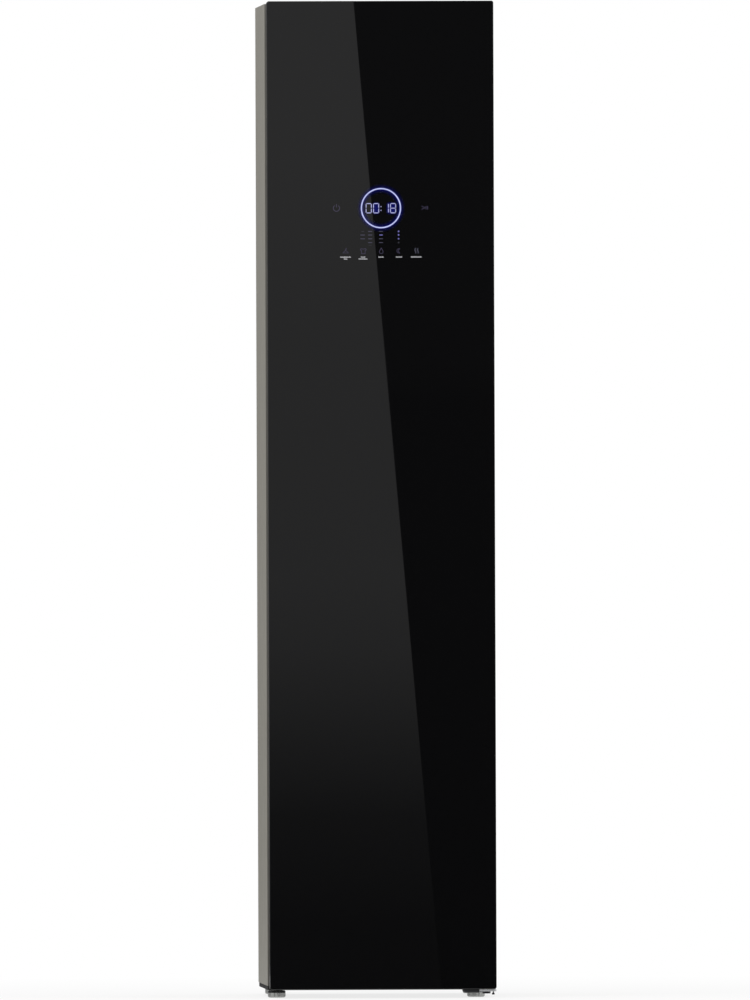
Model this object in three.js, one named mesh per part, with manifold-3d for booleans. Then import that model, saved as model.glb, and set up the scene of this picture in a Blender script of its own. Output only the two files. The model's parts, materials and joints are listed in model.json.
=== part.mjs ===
import * as THREE from "three";
import { mergeVertices } from "three/addons/utils/BufferGeometryUtils.js";
import Module from "manifold-3d";

// Clothes care steam cabinet: a slim steel cabinet with a full-height glass door on its right-hand hinge.
// Millimetres. x runs across, y from the front (negative) to the rear, z up from the floor.

const wasm = await Module();
wasm.setup();

// Overall size
const overallWidth = 425;
const overallDepth = 585;
const overallHeight = 1850;

// Clearances
const seatGap = 0.3;
const runningGap = 1;
const cutOverrun = 2;

// Door
const doorThickness = 60;
const doorGap = 12;
const glassThickness = 5;
const glassRadius = 4;
const glassSideInset = 2;
const glassBottom = 16;
const railSideInset = 1;
const railWidth = 22;
const railWall = 2.5;
const railCorner = 1.5;
const gripFromBack = 11;
const gripWidth = 18;
const gripDepth = 14;
const capHeight = 42;
const capWall = 3;
const capEdgeInset = 2;
const hingePocketDepth = 5.5;
const hingePocketWidth = 62;
const innerPanelWall = 2.5;
const plateauRise = 9;
const plateauTaperShares = [0.03, 0, 0.01];
const plateauInset = 14;
const coreThickness = 26;
const coreEndGap = 8;
const gasketWidth = 9;
const gasketLip = 3;
const displayWidth = 190;
const displayHeight = 150;
const displayTopGap = 404;
const displayWall = 2;
const boardThickness = 1.6;
const boardMargin = 8;
const boardSetback = 3;
const ringLightRadius = 38;
const ringLightWall = 5;
const ringLightOffset = 20;

// Door hinge
const pivotFromSide = 18;
const pivotFromBack = 35;
const pinRadius = 4;
const bushWall = 3;
const bushFlangeRadius = 10;
const bushFlangeThickness = 2.2;
const bushLength = 22;
const pinLength = 24;
const bracketThickness = 3;
const bracketArmWidth = 20;
const bracketPlateWidth = 58;
const bracketPlateLength = 40;
const hingePlateThickness = 4;
const hingePlateTop = 15.2;
const hingeTongueWidth = 32;
const hingeTongueReach = 47;
const hingeFootWidth = 60;
const hingeFootDepth = 18;
const hingeLegThickness = 3;
const hingeLegHeight = 34;
const hingeLegWidth = 40;
const hingeCoverWidth = 30;
const hingeCoverThickness = 6.4;

// Cabinet shell
const sheet = 1;
const cabinetDrop = 4;
const sideBottom = 22;
const frontFlange = 20;
const rearFlange = 15;
const flangeBend = 2;
const trayBottom = 14;
const traySheet = 1.5;
const trayHeight = 36;
const topLip = 24;
const frontFrameDepth = 14;
const frontFrameSheet = 1.2;
const louvreLength = 90;
const louvreWidth = 5;
const louvrePitch = 14;
const louvreCount = 6;
const louvreHeight = 135;
const louvreInset = 102.5;
const beadWidth = 12;
const beadRise = 0.9;
const beadCount = 4;
const beadLowest = 620;
const beadTopGap = 270;
const beadInset = 52.5;
const glandHeight = 330;
const glandInset = 72.5;
const glandFlangeRadius = 14;
const glandFlangeThickness = 0.9;
const glandHubRadius = 9;
const glandHubLength = 18;
const glandBoreRadius = 4.5;

// Levelling feet
const footRadius = 16.5;
const footDiscHeight = 9;
const footCollarHeight = 4.2;
const footCollarRadius = 15.5;
const footEdge = 0.8;
const footStemRadius = 5;
const footStemLength = 38;
const footBossRadius = 11;
const footBossHeight = 14;
const footKnurls = 16;
const footKnurlDepth = 0.6;
const footRounding = 3.2;
const footRoundingSteps = 2;
const frontFootSetback = 30;
const rearFootSetback = 45;
const frontLeftFootInset = 18;
const frontRightFootInset = 36.5;
const rearFootInset = 27.5;

// Clothes cavity and liner
const cavityWall = 35;
const cavityFloor = 430;
const topCompartment = 120;
const linerWall = 3;
const linerHem = 12;
const ductDepth = 62;
const hookFloorGap = 270;
const hookReach = 9;
const hookThickness = 8;
const hookLength = 26;
const hookInset = 60;
const grilleSlotLength = 120;
const grilleSlotWidth = 6;
const grillePitch = 16;
const grilleCount = 7;
const grilleTopGap = 170;
const lampWidth = 150;
const lampDepth = 22;
const lampThickness = 4;
const lampSetback = 40;

// Shelf
const shelfThickness = 12;
const shelfFrontGap = 16.2;
const shelfRearGap = 37.9;
const shelfSideGap = 4;
const shelfRim = 22;
const shelfSlotWidth = 18;
const shelfSlotPitch = 34;

// Water tanks
const tankSideMargin = 21.5;
const tankGap = 20;
const tankDepthShare = 0.304;
const tankHeight = 168;
const tankWall = 2.5;
const tankCorner = 14;
const tankSetback = 22;
const tankTaperShare = 0.04;
const lidThickness = 5;
const lidRimDepth = 6;
const lidRimWall = 2;
const lidOverhang = 4;
const lidGripHeight = 12;
const lidGripWidth = 70;
const lidGripThickness = 9;
const lidInletCount = 3;

// Lint filter and aroma cassette
const filterSideMargin = 57.5;
const filterDepthShare = 0.2073;
const filterNozzleGap = 8;
const filterBodyHeight = 14;
const filterLip = 5;
const filterLipThickness = 3;
const filterSlotWidth = 12;
const filterSlotPitch = 19;
const cassetteWidth = 118;
const cassetteDepth = 36;
const cassetteHeight = 32;
const cassetteTankGap = 12.2;
const cassetteSlotPitch = 12;
const cassetteSlotWidth = 4;

// Hanger drive
const driveBaseHeight = 9;
const driveSheet = 2;
const driveWidth = 300;
const driveDepth = 124;
const rodRadius = 5;
const rodSpacing = 64;
const rodHeight = 24;
const lugWidth = 26;
const carriageLength = 120;
const carriageHeight = 22;
const carriageEdge = 12;
const carriageFlute = 26;
const strokeEachWay = 15;
const yokeSlotWidth = 9;
const crankRadius = 24;
const crankThickness = 6;
const crankHubRadius = 8;
const crankHubHeight = 5;
const crankPinRadius = 4;
const crankPinGap = 0.5;
const crankPinLength = 4;
const gearboxRadius = 30;
const gearboxHeight = 14;
const canRadius = 20;
const canHeight = 20;
const shaftRadius = 3.5;
const bridgeWidth = 74;
const stemWidth = 14;
const stemThickness = 8;
const barSideGap = 32.5;
const barHeight = 32;
const barThickness = 14;
const barDrop = 36;
const notchPitch = 31;
const notchRadius = 7;

// Fan, heater and duct
const wheelRadius = 58;
const wheelWidth = 54;
const wheelHubRadius = 12;
const wheelDisc = 2;
const wheelRing = 4;
const wheelRingHeight = 3;
const bladeCount = 24;
const bladeThickness = 1.4;
const bladeDepth = 13;
const scrollWall = 2.5;
const scrollTongueRadius = 66;
const scrollOuterRadius = 104;
const scrollTongueAngle = 40;
const scrollInletRadius = 46;
const scrollSideGap = 4;
const scrollHeight = 142;
const scrollLegWidth = 12;
const scrollLegSpacing = 96;
const ductWidth = 150;
const ductWall = 2;
const fanCanRadius = 34;
const fanCanLength = 52;
const fanFlangeThickness = 2.5;
const fanBossRadius = 16;
const fanBossLength = 8;
const heaterWidth = 120;
const heaterHeight = 60;
const heaterFin = 1.6;
const heaterFinPitch = 12;
const heaterCore = 12;
const heaterFloorGap = 10;

// Steam and water
const boilerWidth = 128;
const boilerDepth = 86;
const boilerHeight = 72;
const boilerCorner = 14;
const boilerRim = 5;
const boilerRimThickness = 3;
const boilerFoot = 8;
const boilerColumn = -90;
const boilerFrontGap = 100.5;
const spigotRadius = 6;
const spigotLength = 14;
const elementRadius = 7;
const elementLength = 16;
const elementSpacing = 44;
const hoseRadius = 5;
const hoseSides = 8;
const hoseSteps = 16;
const nozzleRadius = 11;
const nozzleCapRadius = 17;
const nozzleCapThickness = 5;
const nozzleLength = 26;
const nozzleBoreRadius = 5;
const nozzleRearGap = 37.9;
const nozzleColumn = -100;
const pumpRadius = 17;
const pumpLength = 52;
const pumpHeadSize = 38;
const pumpHeadLength = 24;
const pumpColumn = 66;
const pumpFrontGap = 100.5;
const pumpFoot = 6;
const wellSpigotColumn = -28;

// Control box
const controlWidth = 120;
const controlDepth = 130;
const controlHeight = 44;
const controlSideGap = 57.5;
const controlRow = 145;
const controlLidOverhang = 3;
const controlLidThickness = 4;
const controlSlotWidth = 3;
const controlSlotPitch = 9;
const controlSlotCount = 7;

// Roundness of curved surfaces
const turnedSides = 20;
const smallSides = 10;
const bendSteps = 3;
const nutSides = 6;

// Places worked out from the sizes above
const glassWidth = overallWidth - 2 * glassSideInset;
const glassFront = -overallDepth / 2;
const glassBack = glassFront + glassThickness;
const doorBack = glassFront + doorThickness;
const doorHalf = glassWidth / 2 - railSideInset;
const cabinetFront = doorBack + doorGap;
const cabinetRear = overallDepth / 2;
const cabinetHalf = overallWidth / 2;
const cabinetTop = overallHeight - cabinetDrop;
const shellHalf = cabinetHalf - sheet - seatGap;
const frameBack = cabinetFront + frontFrameDepth;
const rearPanelInner = cabinetRear - 2 * sheet - seatGap;
const beadPitch = (overallHeight - beadTopGap - beadLowest) / (beadCount - 1);
const beadMiddle = (overallHeight - beadTopGap + beadLowest) / 2;
const beadLength = overallWidth - 2 * beadInset;
const trayTop = trayBottom + trayHeight;
const cavityHalf = cabinetHalf - cavityWall;
const cavityWidth = 2 * cavityHalf;
const cavityTop = overallHeight - topCompartment;
const linerFront = frameBack + seatGap;
const linerBack = rearPanelInner - seatGap - ductDepth;
const cavityDepth = linerBack - linerFront;
const grilleHeight = cavityTop - grilleTopGap;
const hookHeight = cavityFloor + hookFloorGap;
const shelfDepth = cavityDepth - shelfFrontGap - shelfRearGap;
const shelfRow = linerFront + shelfFrontGap + shelfDepth / 2;
const pivotX = glassWidth / 2 - pivotFromSide;
const pivotY = doorBack - pivotFromBack;
const capBottomLow = glassBottom + capEdgeInset;
const capTopHigh = overallHeight - capEdgeInset;
const railLow = capBottomLow + capHeight + seatGap;
const railHigh = capTopHigh - capHeight - seatGap;
const displayCentreHeight = overallHeight - displayTopGap;
const ringLightHeight = displayCentreHeight + ringLightOffset;
const tankWidth = cavityHalf - tankSideMargin - tankGap / 2;
const tankDepth = cavityDepth * tankDepthShare;
const tankBottom = cavityFloor + lidThickness - tankHeight;
const tankSpacing = tankWidth + tankGap;
const tankRow = linerFront + tankSetback + tankDepth / 2;
const cassetteRow = tankRow + tankDepth / 2 + cassetteTankGap + cassetteDepth / 2;
const nozzleRow = linerBack - nozzleRearGap;
const filterWidth = cavityWidth - 2 * filterSideMargin;
const filterDepth = cavityDepth * filterDepthShare;
const filterRow = nozzleRow - nozzleCapRadius - filterNozzleGap - filterDepth / 2;
const driveBottom = cavityTop + linerWall + driveBaseHeight;
const rodAxis = driveBottom + rodHeight;
const carriageTop = rodAxis + carriageHeight / 2;
const crankBottom = carriageTop + crankPinGap + crankPinLength;
const stemSpacing = 3 * notchPitch;
const bridgeBottom = crankBottom + crankThickness + crankHubHeight + runningGap;
const barLength = cavityWidth - 2 * barSideGap;
const wheelRow = linerBack + ductDepth - scrollOuterRadius - scrollWall - seatGap;
const heaterBase = cavityFloor + heaterFloorGap;
const boilerRow = cabinetFront + boilerFrontGap;
const pumpRow = cabinetFront + pumpFrontGap;
const controlColumn = cabinetHalf - controlSideGap - controlWidth / 2;

// Finishes
const paint = (colour, roughness, metalness) =>
  new THREE.MeshStandardMaterial({ color: colour, roughness, metalness });
const finish = {
  blackGlass: paint(0x08080a, 0.06, 0),
  sideSteel: paint(0x89867d, 0.45, 0.3),
  darkTrim: paint(0x5c5b56, 0.5, 0.4),
  blackPlastic: paint(0x1c1c1e, 0.6, 0),
  greyPlastic: paint(0xc9ccce, 0.55, 0),
  whitePlastic: paint(0xe9eaea, 0.5, 0),
  clearPlastic: paint(0x9fb4c4, 0.2, 0),
  zinc: paint(0xb4b6b8, 0.35, 0.9),
  steel: paint(0xc8cacc, 0.25, 1),
  aluminium: paint(0xbfc2c4, 0.4, 0.9),
  rubber: paint(0x3a3b3d, 0.85, 0),
  felt: paint(0x7d7a74, 0.95, 0),
  circuit: paint(0x1f4a34, 0.6, 0),
  bronze: paint(0xa58a55, 0.45, 0.8),
};

// Shape helpers

// A geometry's closed surface as a solid for joining and cutting.
function solidOf(geometry) {
  const bare = geometry.clone();
  bare.deleteAttribute("normal");
  bare.deleteAttribute("uv");
  const merged = mergeVertices(bare, seatGap / 1000);
  return new wasm.Manifold(
    new wasm.Mesh({
      numProp: 3,
      vertProperties: merged.attributes.position.array,
      triVerts: new Uint32Array(merged.index.array),
    }),
  );
}

function geometryOf(solid) {
  const mesh = solid.getMesh();
  const geometry = new THREE.BufferGeometry();
  geometry.setAttribute("position", new THREE.BufferAttribute(mesh.vertProperties.slice(), 3));
  geometry.setIndex(new THREE.BufferAttribute(mesh.triVerts.slice(), 1));
  geometry.computeVertexNormals();
  return geometry;
}

function joined(...pieces) {
  return geometryOf(pieces.flat().map(solidOf).reduce((whole, piece) => whole.add(piece)));
}

function cut(base, ...tools) {
  return geometryOf(tools.flat().map(solidOf).reduce((whole, tool) => whole.subtract(tool), solidOf(base)));
}

// A box between two corners.
function box(x0, x1, y0, y1, z0, z1) {
  const geometry = new THREE.BoxGeometry(x1 - x0, y1 - y0, z1 - z0);
  return geometry.translate((x0 + x1) / 2, (y0 + y1) / 2, (z0 + z1) / 2);
}

// A closed outline through [across, up, radius] corners, each rounded by its own radius.
function outline(corners) {
  const points = corners.map(([x, y]) => new THREE.Vector2(x, y));
  const shape = new THREE.Shape();
  corners.forEach(([, , radius = 0], index) => {
    const corner = points[index];
    const before = points[(index + corners.length - 1) % corners.length];
    const after = points[(index + 1) % corners.length];
    const start = corner.clone().add(before.clone().sub(corner).setLength(radius));
    const end = corner.clone().add(after.clone().sub(corner).setLength(radius));
    if (index === 0) shape.moveTo(start.x, start.y);
    else shape.lineTo(start.x, start.y);
    if (radius > 0) shape.quadraticCurveTo(corner.x, corner.y, end.x, end.y);
  });
  shape.closePath();
  return shape;
}

function rectangle(halfWidth, halfHeight, radius, x = 0, y = 0) {
  return outline([
    [x - halfWidth, y - halfHeight, radius],
    [x + halfWidth, y - halfHeight, radius],
    [x + halfWidth, y + halfHeight, radius],
    [x - halfWidth, y + halfHeight, radius],
  ]);
}

// Extrusions of an outline: drawn in x and y and raised along z, and so on.
function alongZ(shape, z0, z1, steps = bendSteps) {
  const settings = { depth: z1 - z0, bevelEnabled: false, curveSegments: steps };
  return new THREE.ExtrudeGeometry(shape, settings).translate(0, 0, z0);
}

function alongY(shape, y0, y1, steps = bendSteps) {
  return alongZ(shape, 0, y1 - y0, steps).rotateX(Math.PI / 2).translate(0, y1, 0);
}

function alongX(shape, x0, x1, steps = bendSteps) {
  return alongZ(shape, 0, x1 - x0, steps).rotateX(Math.PI / 2).rotateZ(Math.PI / 2).translate(x0, 0, 0);
}

// Round bars along each axis, between two ends.
function barZ(radius, z0, z1, sides = turnedSides) {
  const bar = new THREE.CylinderGeometry(radius, radius, z1 - z0, sides);
  return bar.rotateX(Math.PI / 2).translate(0, 0, (z0 + z1) / 2);
}

function barY(radius, y0, y1, sides = turnedSides) {
  const bar = new THREE.CylinderGeometry(radius, radius, y1 - y0, sides);
  return bar.translate(0, (y0 + y1) / 2, 0);
}

function barX(radius, x0, x1, sides = turnedSides) {
  const bar = new THREE.CylinderGeometry(radius, radius, x1 - x0, sides);
  return bar.rotateZ(-Math.PI / 2).translate((x0 + x1) / 2, 0, 0);
}

// A round piece about z from [radius, height] points that start and end on the axis.
function turned(profile, sides = turnedSides) {
  const points = profile.map(([radius, height]) => new THREE.Vector2(radius, height));
  return new THREE.LatheGeometry(points, sides).rotateX(Math.PI / 2);
}

// A hose along a smooth curve through the points.
function hose(points) {
  const route = new THREE.CatmullRomCurve3(points.map((point) => new THREE.Vector3(...point)));
  const section = new THREE.Shape();
  section.absarc(0, 0, hoseRadius, 0, 2 * Math.PI);
  return new THREE.ExtrudeGeometry(section, {
    steps: hoseSteps,
    bevelEnabled: false,
    curveSegments: hoseSides / 2,
    extrudePath: route,
  });
}

// Places of a row of equal steps about zero.
function row(count, pitch) {
  return Array.from({ length: count }, (_, index) => (index - (count - 1) / 2) * pitch);
}

function piece(name, geometry, material) {
  const mesh = new THREE.Mesh(geometry, material);
  mesh.name = name;
  return mesh;
}

// Narrows a solid about its own middle, from no change at the base to the given shares at the tip.
function narrowed(geometry, axis, base, tip, shares) {
  geometry.computeBoundingBox();
  const middle = geometry.boundingBox.getCenter(new THREE.Vector3());
  const places = geometry.getAttribute("position");
  for (let index = 0; index < places.count; index += 1) {
    const along = (places.getComponent(index, axis) - base) / (tip - base);
    shares.forEach((share, side) => {
      if (side === axis) return;
      const centre = middle.getComponent(side);
      const offset = places.getComponent(index, side) - centre;
      places.setComponent(index, side, centre + offset * (1 - share * along));
    });
  }
  return geometry;
}

// Cabinet shell

const footPlaces = {
  front_left: [frontLeftFootInset - cabinetHalf, cabinetFront + frontFootSetback],
  front_right: [cabinetHalf - frontRightFootInset, cabinetFront + frontFootSetback],
  rear_left: [rearFootInset - cabinetHalf, cabinetRear - rearFootSetback],
  rear_right: [cabinetHalf - rearFootInset, cabinetRear - rearFootSetback],
};
const glandColumn = glandInset - cabinetHalf;

function sidePanel(side) {
  const corners = [
    [cabinetHalf, cabinetFront, flangeBend],
    [cabinetHalf - frontFlange, cabinetFront],
    [cabinetHalf - frontFlange, cabinetFront + sheet],
    [cabinetHalf - sheet, cabinetFront + sheet],
    [cabinetHalf - sheet, cabinetRear - sheet],
    [cabinetHalf - rearFlange, cabinetRear - sheet],
    [cabinetHalf - rearFlange, cabinetRear],
    [cabinetHalf, cabinetRear, flangeBend],
  ];
  const section = outline(corners.map(([x, y, radius]) => [side * x, y, radius]));
  return alongZ(section, sideBottom, cabinetTop);
}

function topPanel() {
  const rear = rearPanelInner - seatGap;
  const shell = box(-shellHalf, shellHalf, linerFront, rear, cabinetTop - topLip, cabinetTop);
  const inside = box(
    sheet - shellHalf,
    shellHalf - sheet,
    linerFront + sheet,
    rear - sheet,
    cabinetTop - topLip - cutOverrun,
    cabinetTop - sheet,
  );
  return cut(shell, inside);
}

function rearPanel() {
  const outer = rearPanelInner + sheet;
  const panel = box(-shellHalf, shellHalf, rearPanelInner, outer, sideBottom, cabinetTop);
  const beads = row(beadCount, beadPitch).map((height) =>
    alongY(
      rectangle(beadLength / 2, beadWidth / 2, beadWidth / 2.1, 0, beadMiddle + height),
      rearPanelInner + sheet / 2,
      outer + beadRise,
      1,
    ),
  );
  const halfLength = louvreLength / 2;
  const halfWidth = louvreWidth / 2;
  const corner = louvreWidth / 2.1;
  const slots = row(2, 2 * (cabinetHalf - louvreInset)).flatMap((column) =>
    row(louvreCount, louvrePitch).map((height) =>
      alongY(
        rectangle(halfLength, halfWidth, corner, column, louvreHeight + height),
        rearPanelInner - cutOverrun,
        outer + cutOverrun,
        1,
      ),
    ),
  );
  const glandHole = barY(glandHubRadius + seatGap, -cutOverrun, sheet + cutOverrun, smallSides);
  glandHole.translate(glandColumn, rearPanelInner, glandHeight);
  return cut(joined(panel, beads), slots, glandHole);
}

function cordGland() {
  const outer = rearPanelInner + sheet + seatGap;
  const flange = barY(glandFlangeRadius, outer, outer + glandFlangeThickness);
  const hub = barY(glandHubRadius, outer - glandHubLength, outer + glandFlangeThickness / 2, smallSides);
  const nutFace = rearPanelInner - seatGap;
  const nut = barY(glandFlangeRadius, nutFace - glandHubRadius / 2, nutFace, nutSides);
  const bore = barY(glandBoreRadius, outer - glandHubLength - cutOverrun, outer + cutOverrun, smallSides);
  return cut(joined(hub, flange, nut), bore).translate(glandColumn, 0, glandHeight);
}

function baseTray() {
  const front = cabinetFront + sheet + seatGap;
  const rear = rearPanelInner - seatGap;
  const shell = box(-shellHalf, shellHalf, front, rear, trayBottom, trayTop);
  const inside = box(
    traySheet - shellHalf,
    shellHalf - traySheet,
    front + traySheet,
    rear - traySheet,
    trayBottom + traySheet,
    trayTop + cutOverrun,
  );
  const floor = trayBottom + traySheet;
  const at = (bar, [x, y]) => bar.translate(x, y, 0);
  const places = Object.values(footPlaces);
  const bosses = places.map((place) =>
    at(barZ(footBossRadius, floor - traySheet / 2, floor + footBossHeight, smallSides), place),
  );
  const holes = places.map((place) =>
    at(barZ(footStemRadius + seatGap, trayBottom - cutOverrun, trayTop, smallSides), place),
  );
  return cut(joined(cut(shell, inside), bosses), holes);
}

// A shallow folded pan with the cavity's window in it; its lips turn inwards round both edges.
function frontFrame() {
  const half = cabinetHalf - frontFlange - seatGap;
  const low = trayTop + seatGap;
  const fold = frontFrameSheet;
  const pan = box(-half, half, cabinetFront, frameBack, low, cabinetTop);
  const hollow = box(
    fold - half,
    half - fold,
    cabinetFront + fold,
    frameBack + cutOverrun,
    low + fold,
    cabinetTop - fold,
  );
  const sleeve = box(
    -cavityHalf - fold,
    cavityHalf + fold,
    cabinetFront,
    frameBack + 2 * cutOverrun,
    cavityFloor - fold,
    cavityTop + fold,
  );
  const mouth = box(
    -cavityHalf,
    cavityHalf,
    cabinetFront - cutOverrun,
    frameBack + 3 * cutOverrun,
    cavityFloor,
    cavityTop,
  );
  return cut(pan, cut(hollow, sleeve), mouth);
}

function levellingFoot() {
  const rim = Array.from({ length: 2 * footKnurls }, (_, index) => {
    const angle = (Math.PI * index) / footKnurls;
    const radius = index % 2 ? footRadius - footKnurlDepth : footRadius;
    return [radius * Math.cos(angle), radius * Math.sin(angle)];
  });
  const collarTop = footDiscHeight + footCollarHeight;
  const disc = alongZ(outline(rim), 0, footDiscHeight);
  const arc = new THREE.Path();
  arc.absarc(footRadius - footRounding, footRounding, footRounding, 0, -Math.PI / 2, true);
  const under = turned([
    [footRadius + cutOverrun, footRounding],
    ...arc.getPoints(footRoundingSteps).map(({ x, y }) => [x, y]),
    [footRadius - footRounding, -cutOverrun],
    [footRadius + cutOverrun, -cutOverrun],
    [footRadius + cutOverrun, footRounding],
  ], 2 * footKnurls);
  const collar = turned([
    [0, footDiscHeight - footEdge],
    [footCollarRadius - footEdge, footDiscHeight - footEdge],
    [footCollarRadius, footDiscHeight + footEdge],
    [footCollarRadius, collarTop - footEdge],
    [footCollarRadius - footEdge, collarTop],
    [0, collarTop],
  ]);
  const stem = barZ(footStemRadius, footDiscHeight, collarTop + footStemLength, smallSides);
  return joined(cut(disc, under), collar, stem);
}

// Liner of the clothes cavity

function linerSide(side) {
  const inner = side * cavityHalf;
  const outer = side * (cavityHalf + linerWall);
  const wall = box(
    Math.min(inner, outer),
    Math.max(inner, outer),
    linerFront,
    linerBack - seatGap,
    cavityFloor - linerWall,
    cavityTop + linerHem,
  );
  const middle = inner + (side * linerWall) / 2;
  const hookOutline = outline([
    [middle, hookHeight],
    [inner - side * hookReach, hookHeight],
    [inner - side * hookReach, hookHeight - hookThickness / 2],
    [middle, hookHeight - 2 * hookThickness],
  ]);
  const hooks = row(2, shelfDepth - 2 * hookInset).map((y) =>
    alongY(hookOutline, shelfRow + y - hookLength / 2, shelfRow + y + hookLength / 2),
  );
  return joined(wall, hooks);
}

function linerBackWall() {
  const half = cavityHalf + linerWall;
  const foot = cavityFloor - linerWall;
  const wall = box(-half, half, linerBack, linerBack + linerWall, foot, cavityTop + linerHem);
  const slots = row(grilleCount, grillePitch).map((height) =>
    alongY(
      rectangle(grilleSlotLength / 2, grilleSlotWidth / 2, grilleSlotWidth / 2.1, 0, grilleHeight + height),
      linerBack - cutOverrun,
      linerBack + linerWall + cutOverrun,
      1,
    ),
  );
  return cut(wall, slots);
}

const stemTravelHalf = stemWidth / 2 + strokeEachWay + runningGap;

function stemSlots(z0, z1) {
  return row(2, stemSpacing).map((x) =>
    alongZ(rectangle(stemTravelHalf, stemThickness / 2 + runningGap, stemThickness / 2, x), z0, z1),
  );
}

function linerCeiling() {
  const half = cavityHalf - seatGap;
  const top = cavityTop + linerWall;
  const plate = box(-half, half, linerFront, linerBack - seatGap, cavityTop, top);
  const bossRadius = driveBaseHeight;
  const bosses = row(2, driveWidth - 4 * bossRadius).flatMap((x) =>
    row(2, driveDepth - 4 * bossRadius).map((y) =>
      barZ(bossRadius, top - linerWall / 2, driveBottom - seatGap, smallSides).translate(x, y, 0),
    ),
  );
  return cut(joined(plate, bosses), stemSlots(cavityTop - cutOverrun, top + cutOverrun));
}

const tankHalfWidth = tankWidth / 2;
const tankHalfDepth = tankDepth / 2;
const filterHalfWidth = filterWidth / 2 - filterLip;
const filterHalfDepth = filterDepth / 2 - filterLip;
const cassetteHalfWidth = cassetteWidth / 2 - filterLip;
const cassetteHalfDepth = cassetteDepth / 2 - filterLip;
const wellFloor = tankBottom - seatGap;

// The cavity floor carries both tank wells and has the openings for the filter, cassette and nozzle.
function linerFloor() {
  const half = cavityHalf - seatGap;
  const under = cavityFloor - linerWall;
  const plate = box(-half, half, linerFront, linerBack - seatGap, under, cavityFloor);
  const wellShape = (wall, x) =>
    rectangle(
      tankHalfWidth + runningGap + wall,
      tankHalfDepth + runningGap + wall,
      tankCorner + wall,
      x,
      tankRow,
    );
  const columns = row(2, tankSpacing);
  const cupTop = under + linerWall / 2;
  const cups = columns.map((x) => alongZ(wellShape(linerWall, x), wellFloor - linerWall, cupTop));
  const hollows = columns.map((x) => alongZ(wellShape(0, x), wellFloor, cavityFloor + cutOverrun));
  const spigotTop = wellFloor - linerWall / 2;
  const spigot = barZ(spigotRadius, wellFloor - linerWall - spigotLength, spigotTop, smallSides);
  const spigotBore = barZ(spigotRadius / 2, wellFloor - 2 * spigotLength, wellFloor + cutOverrun, smallSides);
  const through = (x, y, halfWidth, halfDepth) =>
    box(
      x - halfWidth - runningGap,
      x + halfWidth + runningGap,
      y - halfDepth - runningGap,
      y + halfDepth + runningGap,
      under - cutOverrun,
      cavityFloor + cutOverrun,
    );
  const nozzleHole = barZ(nozzleRadius + seatGap, under - cutOverrun, cavityFloor + cutOverrun, smallSides);
  return cut(
    joined(plate, cups, spigot.translate(wellSpigotColumn, tankRow, 0)),
    hollows,
    spigotBore.translate(wellSpigotColumn, tankRow, 0),
    through(0, filterRow, filterHalfWidth, filterHalfDepth),
    through(0, cassetteRow, cassetteHalfWidth, cassetteHalfDepth),
    nozzleHole.translate(nozzleColumn, nozzleRow, 0),
  );
}

function insulation(side) {
  const inner = side * (cavityHalf + linerWall + seatGap);
  const outer = side * shellHalf;
  const halfDepth = (linerBack - seatGap - linerFront) / 2;
  const halfHeight = (cavityTop - cavityFloor) / 2;
  const face = rectangle(
    halfDepth,
    halfHeight,
    2 * linerHem,
    linerFront + halfDepth,
    cavityFloor + halfHeight,
  );
  return alongX(face, Math.min(inner, outer), Math.max(inner, outer));
}

function lampLens() {
  const middle = linerFront + lampSetback;
  const top = cavityTop - seatGap;
  const face = rectangle(lampWidth / 2, lampDepth / 2, lampDepth / 2.1, 0, middle);
  const lens = alongZ(face, top - lampThickness, top);
  return narrowed(lens, 2, top, top - lampThickness, [0.02, 0.12, 0]);
}

// Shelf, tanks, filter and cassette, each about its own resting place

function shelfPlate() {
  const halfWidth = cavityHalf - shelfSideGap;
  const plate = alongZ(rectangle(halfWidth, shelfDepth / 2, shelfRim / 2), 0, shelfThickness);
  const slotHalf = shelfDepth / 4 - shelfRim * 0.75;
  const slotCount = Math.floor((2 * (halfWidth - shelfRim)) / shelfSlotPitch);
  const slots = row(slotCount, shelfSlotPitch).flatMap((x) =>
    row(2, shelfDepth / 2 - shelfRim / 2).map((y) =>
      alongZ(
        rectangle(shelfSlotWidth / 2, slotHalf, shelfSlotWidth / 2.1, x, y),
        -cutOverrun,
        shelfThickness + cutOverrun,
        1,
      ),
    ),
  );
  return cut(plate, slots);
}

const tubShares = [tankTaperShare, tankTaperShare, 0];

// An open tub with rounded corners that draws in towards its foot.
function tankTub() {
  const outer = alongZ(rectangle(tankHalfWidth, tankHalfDepth, tankCorner), 0, tankHeight);
  const inner = alongZ(
    rectangle(tankHalfWidth - tankWall, tankHalfDepth - tankWall, tankCorner - tankWall),
    tankWall,
    tankHeight + cutOverrun,
  );
  narrowed(outer, 2, tankHeight, 0, tubShares);
  narrowed(inner, 2, tankHeight, 0, tubShares);
  return cut(outer, inner);
}

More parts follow.
